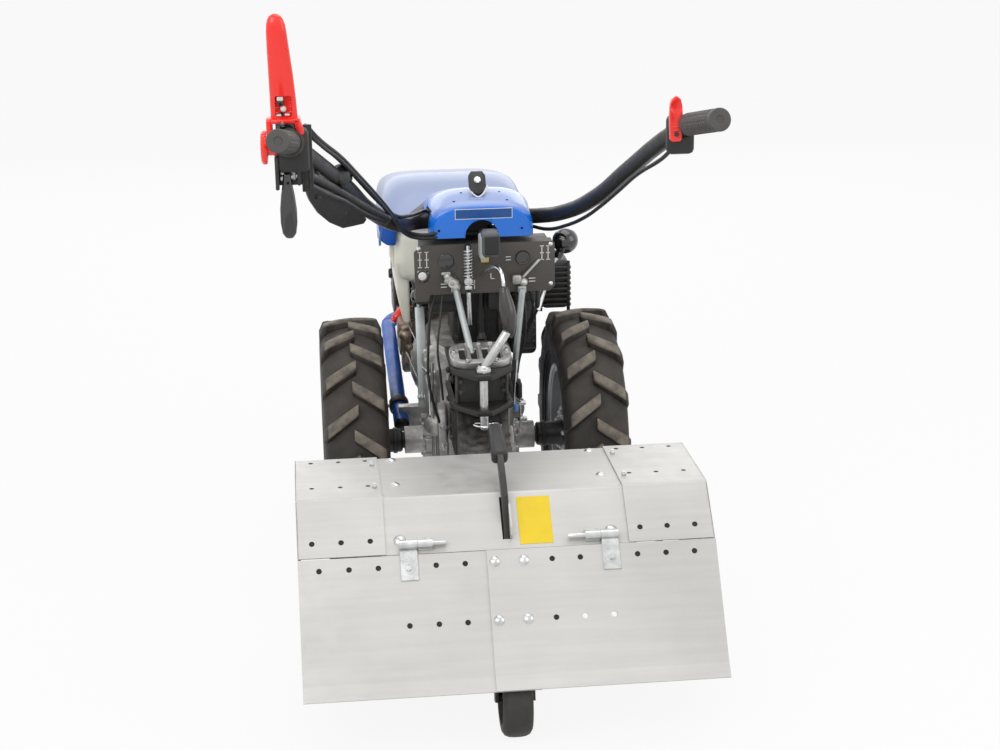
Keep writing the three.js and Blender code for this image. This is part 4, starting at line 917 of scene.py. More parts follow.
def crowned(outline, rear, front, round_off):
    """The crown drawn out from rear to front, its two end edges rounded."""
    shape = plate(outline, "y", rear, front)
    ends = [e for e in shape.edges if abs(e.verts[0].co.y - e.verts[1].co.y) < 0.01]
    bmesh.ops.bevel(shape, geom=ends, offset=round_off, offset_type="OFFSET", segments=8, profile=0.5,
                    affect="EDGES", clamp_overlap=True, material=-1)
    return shape


def sliced_off(shape, place, normal):
    """The shape without what lies beyond the plane, left open there."""
    bmesh.ops.bisect_plane(shape, geom=shape.verts[:] + shape.edges[:] + shape.faces[:], plane_co=place,
                           plane_no=normal, clear_outer=True)
    return shape


def cross_lined(shape, places):
    """Cuts a line of edges across the shape at each y, so that it can be bent there."""
    for y in places:
        bmesh.ops.bisect_plane(shape, geom=shape.verts[:] + shape.edges[:] + shape.faces[:],
                               plane_co=(0, y, 0), plane_no=(0, 1, 0))


def walled(shape, thick):
    bmesh.ops.remove_doubles(shape, verts=shape.verts, dist=0.05)
    bmesh.ops.recalc_face_normals(shape, faces=shape.faces)
    if sum(f.normal.z * f.calc_area() for f in shape.faces) < 0:
        bmesh.ops.reverse_faces(shape, faces=shape.faces)
    bmesh.ops.solidify(shape, geom=shape.faces[:], thickness=thick)
    return shape


low, high = room("cowl")
COLUMN_X = 15
ARCH_X = COLUMN_X + 3


def cowl_height(y):
    """How far the cowl's ridge stands over its lower edge: highest near the rear, falling to both ends."""
    return 81 - 17 * (max(0, -80 - y) / 75) ** 1.5 - 26 * (max(0, y + 80) / 122) ** 1.2


def under_cowl(shape):
    """The shape kept a little below the cowl's inner face."""
    for spot in shape.verts:
        side = min(1, abs(spot.co.x - COLUMN_X - 3) / 102)
        roof = 705 + cowl_height(spot.co.y) * (1 - side ** 3.3) ** (1 / 3.3)
        spot.co.z = min(spot.co.z, max(roof, 738))
    return shape


skin = crowned(crown_outline(low.x, high.x + 6, low.z, high.z, 3.3), low.y, high.y, 15)
cross_lined(skin, range(-150, 40, 6))
for spot in skin.verts:
    spot.co.z = low.z + (spot.co.z - low.z) * cowl_height(spot.co.y) / 100
    spot.co.x = COLUMN_X + (spot.co.x - COLUMN_X) * (1 - 0.03 * max(0, -80 - spot.co.y) / 75)
skin = sliced_off(skin, (0, 0, low.z), (0, 0, -1))
skin = walled(skin, 3.6)
arch = merged(rod((ARCH_X, low.y - 20, low.z + 2), (ARCH_X, low.y + 60, low.z + 2), 32, sides=48),
              box((ARCH_X - 32, low.y - 20, low.z - 60), (ARCH_X + 32, low.y + 60, low.z + 2)))
arm_slots = box((low.x - 20, -126, low.z - 20), (high.x + 20, -64, 760))
pin_holes = merged(*[rod((x, low.y - 20, z), (x, low.y + 30, z - 2), 2.6, sides=14)
                     for x, z in ((-64, 728), (95, 728))])
top_holes = merged(*[rod((x, y, 740), (x, y - 30, 860), 2.8, sides=14)
                     for x, y in ((-16, -93), (57, -93), (-33, -127), (69, -127))])
skin = carved(skin, arch, arm_slots, top_holes, pin_holes)
piece("cowl_shell", skin, GLOSS_BLUE, "handlebar", ("cowl",), smooth=50)
LABEL = dict(left=-33, right=77, bottom=748, top=768)


def label_area(inset):
    left, right = LABEL["left"] + inset, LABEL["right"] - inset
    return [(left, LABEL["bottom"] + inset), (right, LABEL["bottom"] + inset), (right, LABEL["top"] - inset),
            (left, LABEL["top"] - inset)]


rim_line = plate(label_area(0), "y", low.y - 0.5, low.y + 2)
piece("cowl_label_line", carved(rim_line, plate(label_area(1.2), "y", low.y - 3, low.y + 5)), MARK_WHITE,
      "handlebar")
piece("cowl_label", plate(label_area(1.4), "y", low.y - 0.4, low.y + 2), LABEL_BLUE, "handlebar")

# the latch plate leans on the cowl's slope, with its tip over a white lip
lean = Matrix.Translation((COLUMN_X, -123, 787)) @ Matrix.Rotation(math.radians(-38), 4, "X")
shield = [(-16.5, 19), (-16.5, 41), (-11, 50), (11, 50), (16.5, 41), (16.5, 19), (10, 6), (0, 0), (-10, 6)]
badge = merged(plate(shield, "y", -4, 6, 1.6, 3), box((-9, 2, 6), (9, 26, 30), 3, 2))
piece("latch_plate_body", moved(badge, lean), BLACK_PLASTIC, "handlebar", ("latch_plate",))
lip = pipe([(-13, -2, 7), (-7, -3, -1), (0, -3, -5), (7, -3, -1), (13, -2, 7), (19, -1, 20)], 1.5)
piece("latch_lip", moved(lip, lean), MARK_WHITE, "handlebar")
cap_bolt = turned([(0, 6.4), (4.8, 6.2), (6.6, 4.6), (7, 0), (0, 0)], (0, -4, 29), (0, -5, 29), 32)
socket = rod((0, -8, 29), (0, -13, 29), 3, sides=6)
piece("latch_bolt", moved(carved(cap_bolt, socket), lean), CHROME, "handlebar")
# near-black blocks under the cowl: painted shade, filling gaps where the shaded inside would show the backdrop
side_hollow_shade = plate([(-120, 714), (-80, 714), (-80, 744)], "y", -24, 30, 2, 2)
shade_curtain = box((-24, 4, 692), (54, 8, 758))
piece("cowl_inside_shade", merged(side_hollow_shade, shade_curtain), ROUGH_BLACK, "handlebar")

BONNET = dict(left=-170, right=144, rear=96, front=566, bottom=596, top=783)
middle = (BONNET["left"] + BONNET["right"]) / 2
outline = crown_outline(BONNET["left"] + 0.6, BONNET["right"] - 0.6, BONNET["bottom"], BONNET["top"] - 9,
                        5.6, 64)
skin = crowned(outline, BONNET["rear"] - 60, BONNET["front"] - 0.6, 40)
cross_lined(skin, range(84, 560, 17))
for spot in skin.verts:
    ahead = max(0, spot.co.y - BONNET["rear"]) / (BONNET["front"] - BONNET["rear"])
    behind = max(0, 262 - spot.co.y) / 166
    fall = (1 - 0.42 * ahead ** 1.4) * (1 - 0.40 * behind ** 1.7)
    spot.co.z = BONNET["bottom"] + (spot.co.z - BONNET["bottom"]) * fall
    spot.co.x = middle + (spot.co.x - middle) * (1 - 0.1 * ahead)
skin = sliced_off(skin, (0, BONNET["rear"], 0), (0, -1, 0))
skin = sliced_off(skin, (0, 0, 572), (0, 0, -1))
skin = walled(skin, 4.6)
rear_low = plate([(BONNET["rear"] - 200, BONNET["bottom"] + 46),
                  (BONNET["rear"] + 150, BONNET["bottom"] + 46),
                  (BONNET["rear"] + 210, BONNET["bottom"] + 24), (BONNET["rear"] + 260, BONNET["bottom"]),
                  (BONNET["front"] - 90, BONNET["bottom"] - 20),
                  (BONNET["front"] + 100, BONNET["bottom"] - 30), (BONNET["front"] + 100, 0),
                  (BONNET["rear"] - 200, 0)], "x", -400, 400)
crease = box((-120, 118, 779.6), (middle + 60, 123, 800), 1, 1)
skin = carved(skin, rear_low, crease)
piece("bonnet_shell", skin, BONNET_BLUE, "chassis", ("bonnet",), smooth=50)
corner = plate([(-168.6, 684), (-134, 681), (-134, 640), (-152, 641), (-164, 650)], "y", 97, 140, 4, 3)
piece("bonnet_seam", pipe([(-112, 520, 696), (-90, 520, 702), (-50, 520, 705.6), (40, 520, 705.6)], 2.2),
      BLACK_PAINT, "chassis")
piece("bonnet_corner", corner, TUBE_BLUE, "chassis")

# ------------------------------------------------------------------ fuel tank

FLOOR = 556.3
body = box((-137, 106, FLOOR), (70, 330, FLOOR + 112), 24, 6)
lobe_line = [(-136, FLOOR + 40), (-112, FLOOR + 46), (-108, FLOOR - 6), (-108, FLOOR - 84),
             (-116, FLOOR - 91), (-123, FLOOR - 80), (-129, FLOOR - 52), (-134, FLOOR - 20)]
lobe = plate(lobe_line, "y", 112, 300, 8, 4)
seam = plate([(-130, FLOOR + 84), (-145, FLOOR + 80), (-146, FLOOR + 52), (-140, FLOOR + 28),
              (-131, FLOOR + 14), (-124, FLOOR + 20)], "y", 142, 152, 2.4, 2)
neck = turned([(0, FLOOR + 110), (30, FLOOR + 110), (30, FLOOR + 114), (26, FLOOR + 116), (26, FLOOR + 129),
               (0, FLOOR + 130)], (-60, 250, 0), (-60, 250, 1), 40)
piece("fuel_tank_shell", merged(body, lobe, seam), CREAM, "chassis", ("fuel_tank",), smooth=45)
ridges = ring_of(box((-35, 249, FLOOR + 114), (-32.6, 251, FLOOR + 128), 0.4, 1), 18, (-60, 250, 0),
                 (-60, 250, 1))
piece("fuel_cap", merged(neck, ridges), BLACK_PLASTIC, "chassis")

# ------------------------------------------------------------------ console panel

PANEL = dict(left=-113, right=158, y=-152, bottom=602, top=700)
front = PANEL["y"] - 4
outline = [(-112, 589), (-90, 589), (-86, 592), (-84, 602), (148, 602), (158, 611), (158, 696), (154, 700),
           (-99, 700), (-113, 687)]
board = plate(outline, "y", front, PANEL["y"])
lever_slots = merged(box((-16, -170, 606), (-4, -140, 700), 3, 2), box((-44, -170, 606), (-34, -140, 640),
                                                                       3, 2))
board = softened(carved(board, lever_slots), 0.9, 2, 40)
piece("console_board", board, CONSOLE, "chassis", ("console_panel",))
flange = plate([(-150, 699), (-121, 699), (-121, 696), (-147, 696)], "x", -97, 154)
piece("console_flange", flange, CONSOLE, "chassis")
ledge = merged(box((-100, -146, 664), (150, -76, 698), 4, 2), box((-112, -146, 580), (-28, -104, 604), 6, 3),
               box((-84, -120, 556), (-28, -100, 584), 4, 2), box((30, -140, 560), (70, -104, 604), 5, 3))
piece("console_boxes", ledge, ROUGH_BLACK, "chassis")
duct = merged(box((80, -66, 446), (134, 92, 588), 12, 4), box((76, -40, 470), (82, 70, 476), 2, 2),
              box((88, -71, 470), (126, -62, 560), 4, 3),
              *[box((84, -69, z), (130, -63, z + 4), 1.6, 2) for z in range(458, 584, 14)])
piece("heat_shield", duct, ROUGH_BLACK, "chassis")


def strokes(lines, thick=1.7):
    """White marks on the panel: each (x, z) to (x, z) line becomes a thin raised bar."""
    bars = []
    for start, end in lines:
        way = (Vector(end) - Vector(start)).normalized() * thick / 2
        side = Vector((-way.y, way.x))
        a, b = Vector(start) - way, Vector(end) + way
        bars.append(plate([a - side, b - side, b + side, a + side], "y", front - 0.45, front + 0.2))
    return merged(*bars)


def gate(x, z, wide, high, rungs):
    """A generic gate pattern: two uprights with short rungs between and beside them."""
    lines = []
    for side in (0, wide):
        lines.append(((x + side, z), (x + side, z + high)))
        lines += [((x + side - 3, z + high * i / (rungs - 1)), (x + side + 3, z + high * i / (rungs - 1)))
                  for i in range(rungs)]
    return lines


marks = gate(-102, 657, 13, 30, 3) + gate(133, 664, 12, 27, 3)
marks += [((x, 612), (x, 628)) for x in (-14, -6, 2)] + [((-14, 620), (2, 620))]
marks += [((-62, z), (-52, z)) for z in (617, 623)] + [((64, z), (72, z)) for z in (666, 672)]
marks += [((108, z), (119, z)) for z in (622, 628)] + [((34, 630), (34, 640)), ((34, 630), (40, 630))]
piece("console_marks", strokes(marks), MARK_WHITE, "chassis")
plug = turned([(0, 2.2), (13, 2.0), (15.4, 1), (16, 0), (0, 0)], (-52, front, 667), (-52, front - 1, 667), 40)
ring_out = turned([(9, 0), (9.4, 3.6), (12.8, 3.6), (14.6, 0), (9, 0)], (96, front, 669),
                  (96, front - 1, 669), 40)
inner = turned([(0, 0.8), (9.2, 0.8), (9.2, 0), (0, 0)], (96, front, 669), (96, front - 1, 669), 32)
piece("console_plugs", merged(plug, ring_out, inner), GLOSS_BLACK, "chassis")
collar = turned([(8, 0), (8, 3), (11, 3.6), (13.5, 2), (13.5, 0), (8, 0)], (-98, front, 641),
                (-98, front - 1, 641), 40)
piece("console_button_collar", collar, GLOSS_BLACK, "chassis")
button = turned([(0, 6.2), (5.4, 5.6), (8, 3.4), (8, 0), (0, 0)], (-98, front, 641), (-98, front - 1, 641),
                32)
piece("console_button", button, MARK_WHITE, "chassis")
screws = merged(*[bolt((x, front, z), (0, -1, 0), 4.4, washer=False, domed=True)
                  for x, z in ((-104, 694), (150, 694), (150, 616), (20, 694))])
piece("console_screws", screws, ZINC, "chassis")

# ------------------------------------------------------------------ levers at the console

knob = box((8, -252, 694), (44, -204, 742), 10, 5)
for spot in knob.verts:
    spot.co.x += (spot.co.y + 228) * 0.06
piece("gear_knob", knob, KNOB_GREY, "chassis", smooth=60)
pad = box((13, -253.6, 700), (41.5, -246, 737), 5, 4)
piece("gear_knob_face", pad, BLACK_PLASTIC, "chassis", smooth=60)
cheek = box((5, -248, 690), (15, -210, 735), 4.6, 4)
piece("gear_knob_side", cheek, PALE_GREY, "chassis", smooth=60)
stalk = pipe([(18, -118, 480.4), (18, -118, 560), (18, -120, 640), (18, -124, 690), (19, -138, 718),
              (22, -170, 724), (25, -206, 718)], 5.6)
piece("gear_rod", stalk, BLACK_PAINT, "chassis", ("gear_lever",))
boot = turned([(14, 0), (15, 3), (11, 8), (13, 12), (9.4, 17), (11, 21), (7.5, 26), (5.6, 32), (0, 32),
               (0, 0)], (18, -118, 481), (18, -118, 500), 32)
boot = merged(boot, box((8, -126, 480.4), (28, -99, 489), 2, 2))
piece("gear_boot", boot, BLACK_PLASTIC, "chassis")

spring_x, spring_y = -12, PANEL["y"] - 4.3 - 28
core = merged(rod((spring_x, spring_y, 618), (spring_x, spring_y, 704), 3.4, sides=20, soft=0.8),
              box((-19, spring_y - 6, 618), (-5, -156.3, 626), 1.6, 2),
              rod((spring_x, spring_y, 630), (spring_x, spring_y, 640), 6.6, sides=6, soft=0.6))
turns, radius = 9, 8.2
coil = pipe([(spring_x + radius * math.cos(i * math.pi / 6), spring_y + radius * math.sin(i * math.pi / 6),
              642 + 54 * i / (12 * turns)) for i in range(12 * turns + 1)], 1.3, detail=2, sides=3)
eye = moved(turned([(5, 0), (8, 0), (8, 4), (5, 4), (5, 0)], (0, 0, 0), (0, -1, 0), 32),
            Matrix.Translation((spring_x, spring_y + 2, 634)))
piece("spring_spindle", merged(core, eye), ZINC, "chassis", ("spring_rod",))
piece("spring_coil", coil, ZINC, "chassis", smooth=60)
tall_rod = rod((-10, -160, 606), (-8, -158, 540), 4.6, sides=24, soft=1)
piece("spring_lower_rod", tall_rod, ZINC, "chassis")

hook = pipe([(16, -157, 640), (18, -178, 648), (28, -208, 664), (36, -228, 671), (43, -240, 668),
             (47, -250, 652), (48, -253, 636)], 3.5, detail=12)
piece("hook_rod", hook, CHROME, "chassis")
grip_line = (Vector((47.2, -250.7, 640.4)), Vector((61, -264.3, 541)))
hanging = turned([(0, 0), (6, 0.5), (8, 3), (10, 12), (13.2, 28), (15.4, 43), (15.8, 56), (14.6, 70),
                  (12, 83), (8.6, 93), (4.6, 99), (0, 101)], grip_line[0], grip_line[1], 48)
piece("hanging_handle", hanging, HANGING_GRIP, "chassis", ("hook_lever",), smooth=60)
clip = merged(box((14, -165, 664), (30, -156.5, 676), 2, 2), rod((22, -168, 671), (22, -157, 671), 5,
                                                                 sides=6))
BRASS = finish("brass", (0.50, 0.42, 0.20), 0.35, metal=0.8)
piece("cable_nipple", clip, BRASS, "chassis")

foot = merged(box((112, -151.7, 606), (138, -136, 640), 2, 2), rod((126, -144, 560), (126, -144, 620), 4.6,
                                                                   soft=1))
crank = pipe([(126, -146, 560), (140, -128, 600), (152, -118, 636), (166, -112, 655), (176, -110, 664)], 4.8)
strip = plate([(118, 566), (134, 560), (158, 640), (148, 645)], "y", -131, -127, 0.8, 1)
joints = merged(bolt((126, -136, 616), (0, -1, 0), 7), bolt((152, -133, 636), (0, -1, 0), 6),
                bolt((128, -131, 572), (0, -1, 0), 6))
piece("drive_lever_linkage", merged(crank, strip, joints), ZINC, "chassis")
piece("drive_lever_foot", foot, BLACK_PAINT, "chassis")
knob = ball((185, -108, 688), 25.3, 48)
neck = turned([(8.5, -6), (9.5, 2), (7.5, 10), (0, 10), (0, -6)], (172, -110, 660), (185, -108, 688), 24)
piece("drive_lever_ball", merged(knob, neck), GLOSS_BLACK, "chassis", ("pto_lever",),
      smooth=60)

strip_x = -100
bar = moved(box((-9.5, -2.6, 0), (9.5, 2.6, 200), 2, 2), facing((strip_x + 2, -82, 352),
                                                                (strip_x + 2, -42, 548)))
pivot = merged(rod((strip_x + 3, -80, 372), (-76.4, -80, 372), 7, soft=1),
               bolt((strip_x, -80, 372), (-1, 0, 0), 8), rod((strip_x + 3, -41, 530),
                                                             (strip_x - 1, -38, 560), 3.8))
piece("lock_lever_strip", merged(bar, pivot), DULL_ZINC, "chassis", ("lock_lever",))
piece("lock_lever_ball", ball((strip_x - 2, -37, 570), 12.9, 32), GLOSS_BLACK, "chassis",
      smooth=60)

heads = [moved(box((-14, -6, -8), (14, 6, 8), 4, 3),
               Matrix.Translation((-43, -166, 630)) @ Matrix.Rotation(math.radians(32), 4, "Y")),
         ball((-34, -168, 620), 9, 20), ball((-51, -166, 640), 7, 20),
         turned([(4, 0), (4, 5), (8, 5), (8, 0), (4, 0)], (-42, -171, 628), (-42, -172, 628), 24),
         box((-62, -164, 642), (-44, -158, 648), 2, 2), box((74, -172, 620), (92, -160, 638), 4, 3),
         ball((96, -168, 624), 8, 20), moved(box((-3, -2.5, 0), (3, 2.5, 48), 1.6, 2),
                                             facing((94, -164, 632), (118, -160, 656)))]
piece("selector_heads", merged(*heads), CAST, "chassis", smooth=40)
for name, start, end in (("left", (-13, -252, 502), (-36, -166, 618)),
                         ("right", (72, -160, 392), (93, -170, 612))):
    way = (Vector(end) - Vector(start)).normalized()
    bar = rod(start, end, 6.4, sides=24, soft=1)
    ends = merged(rod(Vector(start) - way, Vector(start) + way * 16, 6.9, sides=6, soft=0.6),
                  rod(Vector(end) - way * 20, Vector(end) - way * 6, 6.9, sides=6, soft=0.6))
    tab = box((end[0] - 8, end[1] + 1, end[2] - 10), (end[0] + 8, -156.4, end[2] + 4), 2, 2)
    piece(f"{name}_selector_bar", merged(bar, ends, tab), DULL_ZINC, "chassis",
          (f"{name}_selector",))

# ------------------------------------------------------------------ handlebar

post = under_cowl(cad_copy("steering_column", 1.2, 2))
collar = box((COLUMN_X - 44, -66, 646), (COLUMN_X + 46, -20, 706), 7, 3)
piece("steering_boot", collar, BLACK_PLASTIC, "handle_column")
piece("steering_post", post, BLACK_PAINT, "handle_column", ("steering_column",))
head = under_cowl(cad_copy("handlebar_head", 1.2, 2))
piece("handlebar_head_plates", head, ROUGH_BLACK, "handlebar", ("handlebar_head",))

LEFT_LINE = [(-77, -96, 735), (-104, -110, 736), (-140, -196, 752), (-200, -335, 812), (-243, -475, 884),
             (-304, -675, 976), (-336, -776, 1021.5)]
RIGHT_LINE = [(107, -96, 737), (134, -110, 740), (172, -190, 764), (208, -330, 820), (240, -500, 905),
              (266, -680, 988), (285, -776, 1029.5)]
for name, line in (("left", LEFT_LINE), ("right", RIGHT_LINE)):
    sheet_x, inward = (-76.3, 1) if name == "left" else (106.3, -1)
    bar = pipe(line, 0, section=(24, 29), detail=14)
    bar = sliced_off(bar, (sheet_x, 0, 0), (inward, 0, 0))
    piece(f"{name}_arm_tube", bar, BLACK_PAINT, "handlebar", (f"{name}_arm",), smooth=50)


def cable(name, points, radius, node=None):
    """A black sheathed control cable held by the handlebar."""
    line = pipe(points, radius, detail=6, sides=4)
    piece(name, line, BLACK_PLASTIC, "handlebar", (node,) if node else (), smooth=60)


left_route = [(-318, -731.7, 1034), (-316, -718, 1032), (-300, -690, 1012), (-259, -575, 955),
              (-233, -495, 912), (-181, -340, 825), (-150, -250, 782), (-122, -180, 765), (-100, -124, 757),
              (-84, -90, 753), (-76.3, -90, 753)]
cable("left_cable_sheath", left_route, 3.6, "left_cable")
for name, off in (("left_second_cable", 0), ("left_third_cable", 7)):
    cable(name, [(-311, -731, 1038 - off), (-309, -716, 1036 - off), (-294, -690, 1014 - off),
                 (-253, -575, 957 - off), (-227, -495, 914 - off), (-176, -340, 826 - off),
                 (-152, -262, 780 - off), (-134, -206, 746 - off), (-112, -174, 728 - off),
                 (-88, -160, 722 - off), (-60, -148, 724 - off), (-40, -130, 728)], 3.4)
bump = turned([(0, -9), (15, -9), (18, -6), (18, 6), (15, 9), (0, 9)], (-256, -545, 921),
              (-255, -545.8, 921.6), 36)
strap = merged(rod((-268, -560, 930), (-240, -500, 905), 8, sides=20, soft=3),
               box((-262, -552, 900), (-246, -536, 922), 3, 2))
piece("left_arm_joint", merged(bump, strap), BLACK_PLASTIC, "handlebar", smooth=50)
stay = pipe([(-306, -706, 938), (-285, -640, 912), (-249, -527, 871), (-214, -420, 826), (-170, -300, 782)],
            5.4)
under = pipe([(-309, -712, 956), (-262, -560, 898), (-214, -420, 838), (-168, -300, 788)], 8)
piece("left_arm_stays", merged(stay, under), BLACK_PAINT, "handlebar", smooth=50)
cable("right_cable_sheath", [(276, -734.7, 984), (276, -720.7, 983), (264, -670, 955), (244, -560, 908),
                             (228, -460, 858), (211, -370, 812), (194, -290, 774), (172, -210, 742),
                             (146, -150, 722), (122, -104, 718), (114, -90, 718.5), (106.3, -90, 718.5)],
      3.5, "right_cable")
for name, start, end in (("left", (-336, -778, 1022), (-352, -900, 1047)),
                         ("right", (285, -778, 1030), (308, -900, 1058))):
    start, end = Vector(start), Vector(end)
    length = (end - start).length
    profile = [(0, 3), (17.6, 3), (18, 5), (18, 12), (16.4, 13.5)]
    for i in range(11):
        along = 17 + i * 8.4
        profile += [(16.4, along - 1.6), (17.9, along - 0.2), (17.9, along + 4.4), (16.4, along + 5.6)]
    profile += [(16.6, length - 9), (18, length - 7), (18, length - 2), (16.6, length - 0.4),
                (7, length - 0.2), (5.6, length - 1.6), (0, length - 2)]
    handle = turned(profile, start, end, 48)
    flutes = ring_of(rod((20.6, 0, 14), (20.6, 0, length - 8), 4, sides=10), 10, (0, 0, 0), (0, 0, 1))
    flutes = moved(flutes, facing(start, end))
    handle = carved(handle, flutes)
    piece(f"{name}_grip_rubber", handle, GRIP, "handlebar", (f"{name}_grip",), smooth=40)

clamp_left = cad_copy("left_clamp", 1.4, 2)
clamp_bolts = merged(bolt((-331, -752, 972), (0, 0, -1), 7), bolt((-345, -772, 1052), (0, -1, 0), 5),
                     bolt((-345, -746, 1052), (0, 1, 0), 5))
piece("left_clamp_casting", clamp_left, ROUGH_BLACK, "handlebar", ("left_clamp",))
piece("left_clamp_bolts", clamp_bolts, ZINC, "handlebar")
brace = merged(box((-319, -742, 936), (-301, -736, 1042), 1.6, 2),
               box((-319, -745, 940), (-316.6, -741, 1034), 0.8, 1),
               box((-308, -745, 940), (-305.6, -741, 1030), 0.8, 1))
piece("left_clamp_plate", brace, BLACK_PAINT, "handlebar")
yoke = merged(box((-360, -772, 946), (-354, -738, 998), 2, 2), box((-358, -744, 948), (-318, -738, 1000), 2,
                                                                   2),
              box((-326, -770, 952), (-321, -738, 1000), 2, 2))
piece("hand_brake_yoke", yoke, ROUGH_BLACK, "handlebar")
fittings = merged(box((-352, -762, 968), (-346, -750, 990), 2, 2), rod((-352, -757, 962), (-326, -757, 966),
                                                                       4, sides=16),
                  ball((-336, -760, 978), 5, 16), box((-333, -762, 960), (-328, -750, 984), 2, 2))
piece("hand_brake_fittings", fittings, CAST, "handlebar")
grip_collar = turned([(13, 0), (22, 0), (25, 3), (25, 16), (22, 20), (13, 20), (13, 0)], (-336, -758, 1018),
                     (-339.4, -784, 1023.6), 48)
piece("left_grip_collar", grip_collar, ROUGH_BLACK, "handlebar", smooth=40)


def lofted(rings):
    """A skin drawn over rings of equal count, closed at both ends."""
    shape = bmesh.new()
    rows = [[shape.verts.new(spot) for spot in ring] for ring in rings]
    for one, other in zip(rows, rows[1:]):
        for i in range(len(one)):
            j = (i + 1) % len(one)
            shape.faces.new((one[i], one[j], other[j], other[i]))
    shape.faces.new(rows[0][::-1])
    shape.faces.new(rows[-1])
    bmesh.ops.recalc_face_normals(shape, faces=shape.faces)
    return shape


# the red clutch lever: a long half-round moulded blade, hollowed low down where its catch shows
levels = [(4, -12.5, 29, 11), (12, -12.5, 28.5, 12), (40, -12.6, 27, 13), (74, -13, 24.4, 13.4),
          (110, -13.4, 20.6, 13.4), (140, -13.4, 17.6, 12.8), (152, -12.6, 16, 12), (160, -10.6, 13.4, 10),
          (165, -7.4, 9.6, 7), (168, -2, 4, 3)]
rings = []
for level, left, right, deep in levels:
    ring = []
    for i in range(32):
        turn = i * math.pi / 16
        across_x = signed_power(math.cos(turn), 0.8) * (right - left) / 2
        ring.append(((left + right) / 2 + across_x, signed_power(math.sin(turn), 0.8) * deep, level))
    rings.append(ring)
blade = carved(lofted(rings), box((-5, -30, 10), (20.5, -3, 44), 3, 3))
bars = [box((x - 4, -8, z), (x + 4, -2, z + 2), 0.8, 1) for x in (-3, 19) for z in (16, 24, 32)]
collar = [box((-15, -14, 0), (32, 12, 7), 2.4, 2), box((-20, -15, -17), (-10, 8, 7), 2.4, 2)]
ear = plate([(20, 8), (31, 8), (38, -16), (34, -20), (28, -18)], "y", -14, 6, 2.4, 2)
tilt = Matrix.Translation((-350, -764, 1052)) @ Matrix.Rotation(math.radians(8), 4, "X")
piece("clutch_lever_blade", moved(merged(blade, ear, *bars, *collar), tilt), RED, "handlebar",
      ("clutch_lever",), smooth=50)
catch = merged(box((-6, -10, -12), (24, 8, 2), 3, 2), box((-2, -10, 28), (8, -2, 35), 1.6, 2),
               box((3, -8, 12), (7, -2, 18), 1, 1))
piece("clutch_lever_fork", moved(catch, tilt), GLOSS_BLACK, "handlebar")
inlays = merged(box((-2, -12, 35.6), (7.6, -2, 42.6), 2, 2), ball((7.5, -6, 22), 4.8, 20),
                box((-4, -10, 11), (4, -2, 14), 1, 1), box((9, -10, 11.6), (17, -2, 14.4), 1, 1))
piece("clutch_lever_inlays", moved(inlays, tilt), MARK_WHITE, "handlebar")

low, high = room("stop_switch")
centre = (low + high) / 2
disc = turned([(0, -2), (11, -2), (12.5, 0), (12.5, 13), (25, 15), (26, 17), (26, 21), (23, 24), (8, 25),
               (0, 25)], (high.x + 1, centre.y, centre.z), (low.x, centre.y + 0.4, centre.z), 48)
notch_z = centre.z + 27.4
notch = rod((high.x - 10, centre.y, notch_z), (low.x - 24, centre.y, notch_z), 3, sides=12)
notches = ring_of(notch, 12, (0, centre.y, centre.z), (1, centre.y, centre.z))
piece("stop_switch_disc", carved(disc, notches), RED, "handlebar", ("stop_switch",))

paddle = [(-6, 0), (6, 0), (7.4, -16), (10.6, -34), (13, -56), (13, -78), (10.6, -94), (5, -102), (-5, -102),
          (-10.6, -94), (-13, -78), (-13, -56), (-10.6, -34), (-7.4, -16)]
shape = carved(plate(paddle, "y", -5, 5, 3.6, 4), rod((1, -20, -16), (1, 20, -16), 2.4, sides=20))
tilt = Matrix.Translation((-342, -758, 971)) @ Matrix.Rotation(math.radians(-8), 4, "X")
piece("hand_brake_paddle", moved(shape, tilt), GLOSS_BLACK, "handlebar", ("hand_brake",),
      smooth=50)

# the shield hangs edge-down along the underside of the arm
outline = [(-134, 8), (-134, -4), (-110, -12), (-86, -17), (-20, -25), (54, -26), (126, -20), (160, -8),
           (203, 8), (203, 18), (126, 22), (0, 16)]
along, above = Vector((0.2710, 0.8688, -0.4145)), Vector((0.5926, 0.1887, 0.7831))
skin = plate(outline, "y", -2.2, 2.2, 1, 1)
turn = Matrix((along, above.cross(along), above)).transposed().to_4x4()
skin = moved(skin, Matrix.Translation((-276, -587, 884)) @ turn)
piece("arm_shield_plate", skin, BLACK_PLASTIC, "handlebar", ("arm_shield",), smooth=40)
studs = merged(rod((-295, -648, 905), (-296, -650, 960), 5), rod((-251, -506, 846), (-250, -500, 890), 5))
piece("arm_shield_studs", studs, BLACK_PAINT, "handlebar")

clamp_right = cad_copy("right_clamp", 1.4, 2)
piece("right_clamp_casting", clamp_right, ROUGH_BLACK, "handlebar", ("right_clamp",))
low, high = room("throttle_lever")
middle_x = (low.x + high.x) / 2
shape = [(-9, 2), (-6, 0), (6, 0), (9, 2), (10, 24), (10.4, 40), (9.6, 56), (7, 67), (0, 72), (-7, 67),
         (-9.6, 56), (-10.4, 40), (-10, 24)]
lever = plate([(middle_x + u, low.z + v) for u, v in shape], "y", low.y, high.y, 2.8, 3)
dish = ball((middle_x, low.y - 18, low.z + 54), 21, 32)
lever = carved(lever, dish)
knurls = merged(*[box((middle_x - 8, low.y - 0.8, low.z + z), (middle_x + 8, low.y + 2, low.z + z + 2), 0.6,
                      1) for z in (10, 16, 22)])
piece("throttle_lever_blade", merged(lever, knurls), RED, "handlebar", ("throttle_lever",))
piece("throttle_bolt", bolt((middle_x, low.y, low.z + 12), (0, -1, 0), 5, washer=False), GLOSS_BLACK,
      "handlebar")

# ------------------------------------------------------------------ hitch

